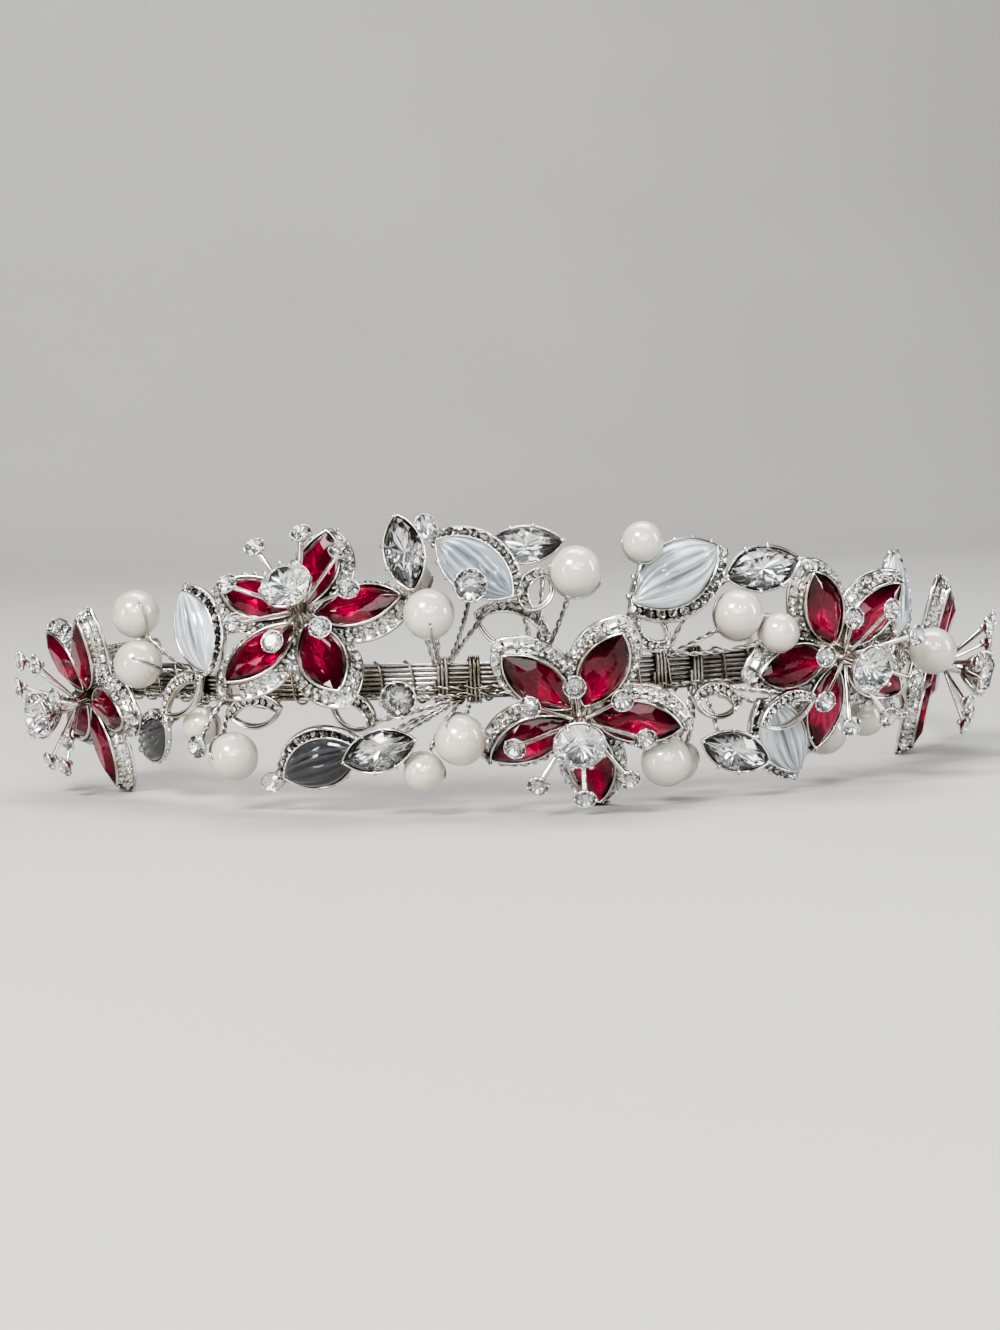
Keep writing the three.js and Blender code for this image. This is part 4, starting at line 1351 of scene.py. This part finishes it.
def make_open_leaf(item, seed):
    """A leaf that is only its rim, broad and jewelled on its right-hand side"""
    rim, border, thick = OPEN_LEAF["rim"], OPEN_LEAF["border"], OPEN_LEAF["thick"]
    outer = (item["length"], item["width"], 0)
    hole = (outer[0] - 3 * rim, outer[1] - rim - border, (border - rim) / 2)
    sizes = [
        (outer, -0.25, 0), (outer, 0, 0.25), (outer, 0, thick - 0.3), (outer, -0.14, thick - 0.05),
        (outer, -0.32, thick), (outer, -0.5, thick - 0.3), (hole, 0.45, thick - 0.3), (hole, 0.3, thick),
        (hole, 0.12, thick - 0.05), (hole, 0, thick - 0.3), (hole, 0, 0.25), (hole, 0.2, 0),
    ]
    rings = []
    for (length, width, dy), grow, z in sizes:
        rings.append(navette_ring(length + 2 * grow, width + 2 * grow, z, dy))
    points, faces = loft(rings, closed=True)
    # The flat bed between the rim's outer and inner edges wears the dark bed finish, painted shade between
    # its stones
    bed = range(5 * OVAL_POINTS, 6 * OVAL_POINTS)
    setting = mesh_of(points, faces, [SILVER, PAVE_BED_PAINTED_SHADE], [int(k in bed) for k in range(len(faces))])
    row, row_widths = border_rows(outer, hole, (0.5,), thick, 0.14)
    stones = set_row(
        row, LEAF_PLATE, SMALL_STONE, *OPEN_LEAF_STONES, row_widths, Tilt=0.2, Seed=seed, Material=CRYSTAL
    )
    edges, edge_widths = border_rows(outer, hole, (0.22, 0.78), thick, 0.12)
    balls = set_row(
        edges, LEAF_PLATE, SMALL_BALL, *OPEN_LEAF_BALLS, edge_widths, Size_change=0.2, Seed=seed + 3
    )
    return [setting, balls], [stones], []


def make_navette(item, seed):
    """A clear pointed crystal in its rim, with a claw at each end and two along each side"""
    depth = NAVETTE["depth"]
    sizes = [
        (5, 2.4, -0.05), (6, 3, 0.05), (12.3, 6.5, depth - 0.35), (12.8, 6.85, depth - 0.05),
        (12.8, 6.85, depth + 0.35), (12.5, 6.55, depth + 0.45), (12.3, 6.35, depth + 0.3), (5.5, 2.6, 0.25),
    ]
    silver = [mesh_of(*loft([navette_ring(*size) for size in sizes]), [SILVER])]
    claws = (
        (6.1, 0, 0), (-6.1, 0, 180), (1.8, 3.1, 78), (-1.8, 3.1, 102), (1.8, -3.1, -78), (-1.8, -3.1, 258),
    )
    for x, y, heading in claws:
        claw = ball_mesh(0.34, 8, 5)
        seat = Matrix.Translation((x, y, depth + 0.42)) @ turn("Z", heading)
        claw.transform(seat @ Matrix.Diagonal((1.5, 0.8, 0.9, 1)))
        silver.append(claw)
    stone = cut_stone(
        navette_edge, NAVETTE["length"], NAVETTE["crown"], NAVETTE["pavilion"], CRYSTAL, FOIL, sides=10,
        table=0.5,
    )
    stone.transform(Matrix.Translation((0, 0, NAVETTE["seat"])))
    return silver, [stone], []


def make_round(item, seed):
    """A clear round crystal in its cup"""
    radius = item["radius"]
    profile = [
        (0.02, 0), (0.5, 0), (0.62, 0.12), (0.95, 0.5), (1.0, 0.62), (1.0, 0.78), (0.95, 0.8), (0.92, 0.68),
        (0.5, 0.22), (0.02, 0.2),
    ]
    cup = turned([(r * radius, z * radius) for r, z in profile], 24)
    claw = ball_mesh(0.13 * radius, 6, 4, 1.5)
    claw.transform(Matrix.Translation((0.95 * radius, 0, 0.78 * radius)) @ turn("Y", -25))
    claws = grown(claw, ROUND_AXIS, Count=6 if radius < 2 else 8, Start=0.2)
    stone = cut_stone(round_outline, 1.88 * radius, 0.34 * radius, 0.46 * radius, CRYSTAL, FOIL)
    stone.transform(Matrix.Translation((0, 0, 0.76 * radius)))
    return [cup, claws], [stone], []


# Each maker gives its silver, its clear stones and its glass
MAKERS = {"leaf": make_leaf, "open_leaf": make_open_leaf, "navette": make_navette, "round": make_round}


# The sprays

STEM_OUT = WIRE_PITCH / 2 + SLEEVE["gap"] + SLEEVE["wall"] / 2


def stem_curve(root, end, angle, via):
    """The stem from a sleeve to what it carries: past a place of its own, or else bowed outwards"""
    swing = max(-STEM["widest"], min(STEM["widest"], (angle - root[0]) * STEM["spread"]))
    start = spot(root[0] + swing, root[1], STEM_OUT)
    outward = Vector((start.x, start.y, 0)).normalized()
    middle = spot(*via) if via else start.lerp(end, 0.5) + outward * ((end - start).length * STEM["arch"])
    return start, middle, end


def twisted_stem(points, seed):
    run = sum((a - b).length for a, b in zip(points, points[1:]))
    return grown(
        path_mesh([points]), TWISTED, Wire_radius=STEM_WIRE["wire"], Strands=2, Reach_out=STEM_WIRE["reach"],
        Reach_up=STEM_WIRE["reach"], Turns=run / STEM_WIRE["pitch"], Steps=max(12, int(run * 3.2)), Sides=6,
        Slack=0.25, Slack_size=0.25, Seed=float(seed), Material=WIRE_SILVER,
    )


STEM_ENDS = {
    "leaf": (-LEAF["length"] * 0.36, 0, LEAF["plate"] / 2),
    "navette": (-NAVETTE["length"] * 0.22, 0, NAVETTE["depth"] * 0.5),
    "round": (0, 0, 0.6),
}


def pearl_mesh(radius):
    """A pearl with a dimple at each end of its bore, which runs along z"""
    near_bore = [0.5, 2.6, 3.6, 5.0]
    angles = near_bore + [10 + 160 * k / 20 for k in range(21)] + [180 - a for a in reversed(near_bore)]
    rings = []
    for a in angles:
        reach = radius - 0.55 if min(a, 180 - a) < 3 else radius
        rings.append(circle(reach * math.sin(math.radians(a)), -reach * math.cos(math.radians(a)), 36))
    return mesh_of(*loft(rings), [PEARL_WHITE])


def make_pearl(number, angle, height, out, size, thread, root, via, seed):
    """A pearl on its thread of wire, which hugs it on both sides and twists together below it"""
    radius = PEARL_RADIUS[size]
    middle = spot(angle, height, out)
    start, bend, _ = stem_curve(root, middle, angle, via)
    down = (bend - middle).normalized()
    outward = Vector((middle.x, middle.y, 0)).normalized()
    side = down.cross(outward).normalized()
    axis = Matrix.Rotation(math.radians(thread), 3, down) @ side
    stem_end = middle + down * (radius + THREAD["below"])
    wires = [twisted_stem(bow(start, bend, stem_end), seed)]
    reach = radius + THREAD["clear"]
    for way in (1, -1):
        line = [stem_end + down * 0.6]
        for k in range(9):
            a = math.radians(6 + 78 * k / 8)
            line.append(middle + (down * math.cos(a) + axis * (way * math.sin(a))) * reach)
        line.append(middle + axis * (way * (radius - 0.4)) + down * 0.1)
        wires.append(wire([line], THREAD["wire"], material=WIRE_SILVER, steps=22))
    up = axis.orthogonal().normalized()
    basis = Matrix((up, axis.cross(up), axis)).transposed().to_4x4()
    ball = pearl_mesh(radius)
    ball.transform(Matrix.Translation(middle) @ basis)
    piece(f"white_pearl_{number}", [ball], [f"pearl_{number}"])
    return wires


def make_spray(name, spray, seed):
    root = spray["root"]
    silver, clear, glass = [sleeve_at(root[0], seed)], [], []
    for k, (number, angle, height, out, size, thread, *via) in enumerate(spray["pearls"]):
        bend = via[0] if via else None
        silver += make_pearl(number, angle, height, out, size, thread, root, bend, seed + k)
    for k, item in enumerate(spray["set"]):
        place = placing(*item["at"])
        for made, kept in zip(MAKERS[item["kind"]](item, seed * 10 + k), (silver, clear, glass)):
            for mesh in made:
                mesh.transform(place)
                kept.append(mesh)
        tip = STEM_ENDS.get(item["kind"]) or (-item["length"] / 2 + 0.9, 0, 0.65)
        curve = stem_curve(root, place @ Vector(tip), item["at"][0], item.get("via"))
        silver.append(twisted_stem(bow(*curve), seed + 5 + k))
    piece(name + "_silver", silver, [name])
    if clear:
        piece(name + "_crystals", clear, [])
    if glass:
        piece(name + "_leaf_glass", glass, [])


make_band()
for seed, (name, flower) in enumerate(FLOWERS.items()):
    make_flower(name, flower, 10 * seed + 1)
for seed, (name, spray) in enumerate(SPRAYS.items()):
    make_spray(name, spray, 20 * seed + 3)
for helper in HELPERS:
    bpy.data.objects.remove(helper)


# Floor, light and camera

def make_floor():
    """A pale seamless floor that rises behind the tiara"""
    finish = Finish("pale_backdrop")
    grey = finish.ramp(finish.noise(3, 2), (0.3, (0.43, 0.425, 0.415)), (0.7, (0.46, 0.455, 0.445)))
    finish.shade(Base_Color=grey, Roughness=0.65)
    profile = [(-1.6, 0.0), (-0.4, 0.0), (0.9, 0.0)]
    for k in range(1, 13):
        a = math.pi / 2 * k / 12
        profile.append((0.9 + 0.7 * math.sin(a), 0.7 - 0.7 * math.cos(a)))
    profile.append((1.6, 2.6))
    points, faces = [], []
    for y, z in profile:
        points += [(-2.4, y, z), (2.4, y, z)]
    for k in range(len(profile) - 1):
        faces.append((2 * k, 2 * k + 1, 2 * k + 3, 2 * k + 2))
    floor = bpy.data.objects.new("floor", mesh_of(points, faces, [finish.material]))
    scene.collection.objects.link(floor)


def soft_light(name, place, target, width, height, power, colour=(1, 1, 1)):
    data = bpy.data.lights.new(name, "AREA")
    data.shape = "RECTANGLE"
    data.size = width
    data.size_y = height
    data.energy = power
    data.color = colour
    light = bpy.data.objects.new(name, data)
    scene.collection.objects.link(light)
    light.location = place
    light.rotation_euler = (Vector(target) - Vector(place)).to_track_quat("-Z", "Y").to_euler()
    light.visible_camera = False


def make_light():
    """Soft light from large cards, and three small lamps that spark in the stones"""
    world = bpy.data.worlds.new("studio")
    world.use_nodes = True
    world.node_tree.nodes["Background"].inputs["Color"].default_value = (0.80, 0.84, 0.90, 1)
    world.node_tree.nodes["Background"].inputs["Strength"].default_value = 0.22
    scene.world = world
    crown = (0, -0.05, 0.02)
    soft_light("window", (-0.5, -0.55, 0.66), crown, 0.32, 0.26, 13, (1.0, 0.985, 0.96))
    soft_light("side", (0.75, -0.3, 0.3), crown, 0.12, 0.5, 3.5, (0.94, 0.97, 1.0))
    soft_light("low_left", (-0.8, -0.4, 0.14), crown, 0.08, 0.3, 1.6, (1.0, 0.93, 0.84))
    soft_light("overhead", (0.1, 0.12, 1.0), crown, 0.8, 0.35, 7)
    soft_light("spark_left", (-0.16, -0.95, 0.32), crown, 0.05, 0.05, 1.3)
    soft_light("spark_right", (0.38, -0.85, 0.55), crown, 0.05, 0.05, 1.3)
    soft_light("spark_middle", (0.06, -0.9, 0.7), crown, 0.04, 0.04, 1.2)
    soft_light("front_card", (-0.2, -1.25, 0.5), crown, 1.2, 0.6, 8.5)
    soft_light("backdrop", (0.0, 0.5, 1.3), (0, 1.5, 0.5), 1.6, 0.5, 16)


def make_camera():
    """The photograph's view: a little above the band and left of its middle, and turned"""
    azimuth, elevation, roll = (math.radians(VIEW[key]) for key in ("azimuth", "elevation", "roll"))
    level = math.cos(elevation)
    back = Vector((-math.sin(azimuth) * level, -math.cos(azimuth) * level, math.sin(elevation)))
    forward = -back
    right = forward.cross(Vector((0, 0, 1))).normalized()
    up = right.cross(forward)
    rolled_right = right * math.cos(roll) - up * math.sin(roll)
    rolled_up = up * math.cos(roll) + right * math.sin(roll)
    data = bpy.data.cameras.new("camera")
    # The frame is upright, so the sensor's width covers its height
    data.sensor_width = 36
    data.lens = data.sensor_width * VIEW["focal"] / VIEW["height"]
    data.shift_y = VIEW["shift"] / VIEW["height"]
    data.clip_start = 0.01
    data.clip_end = 20
    camera = bpy.data.objects.new("camera", data)
    scene.collection.objects.link(camera)
    basis = Matrix((rolled_right, rolled_up, -forward)).transposed().to_4x4()
    camera.matrix_world = Matrix.Translation(ARCH @ (back * VIEW["distance"])) @ (LIE @ basis)
    scene.camera = camera


make_floor()
make_light()
make_camera()
scene.view_settings.look = "AgX - High Contrast"
scene.view_settings.exposure = -0.36
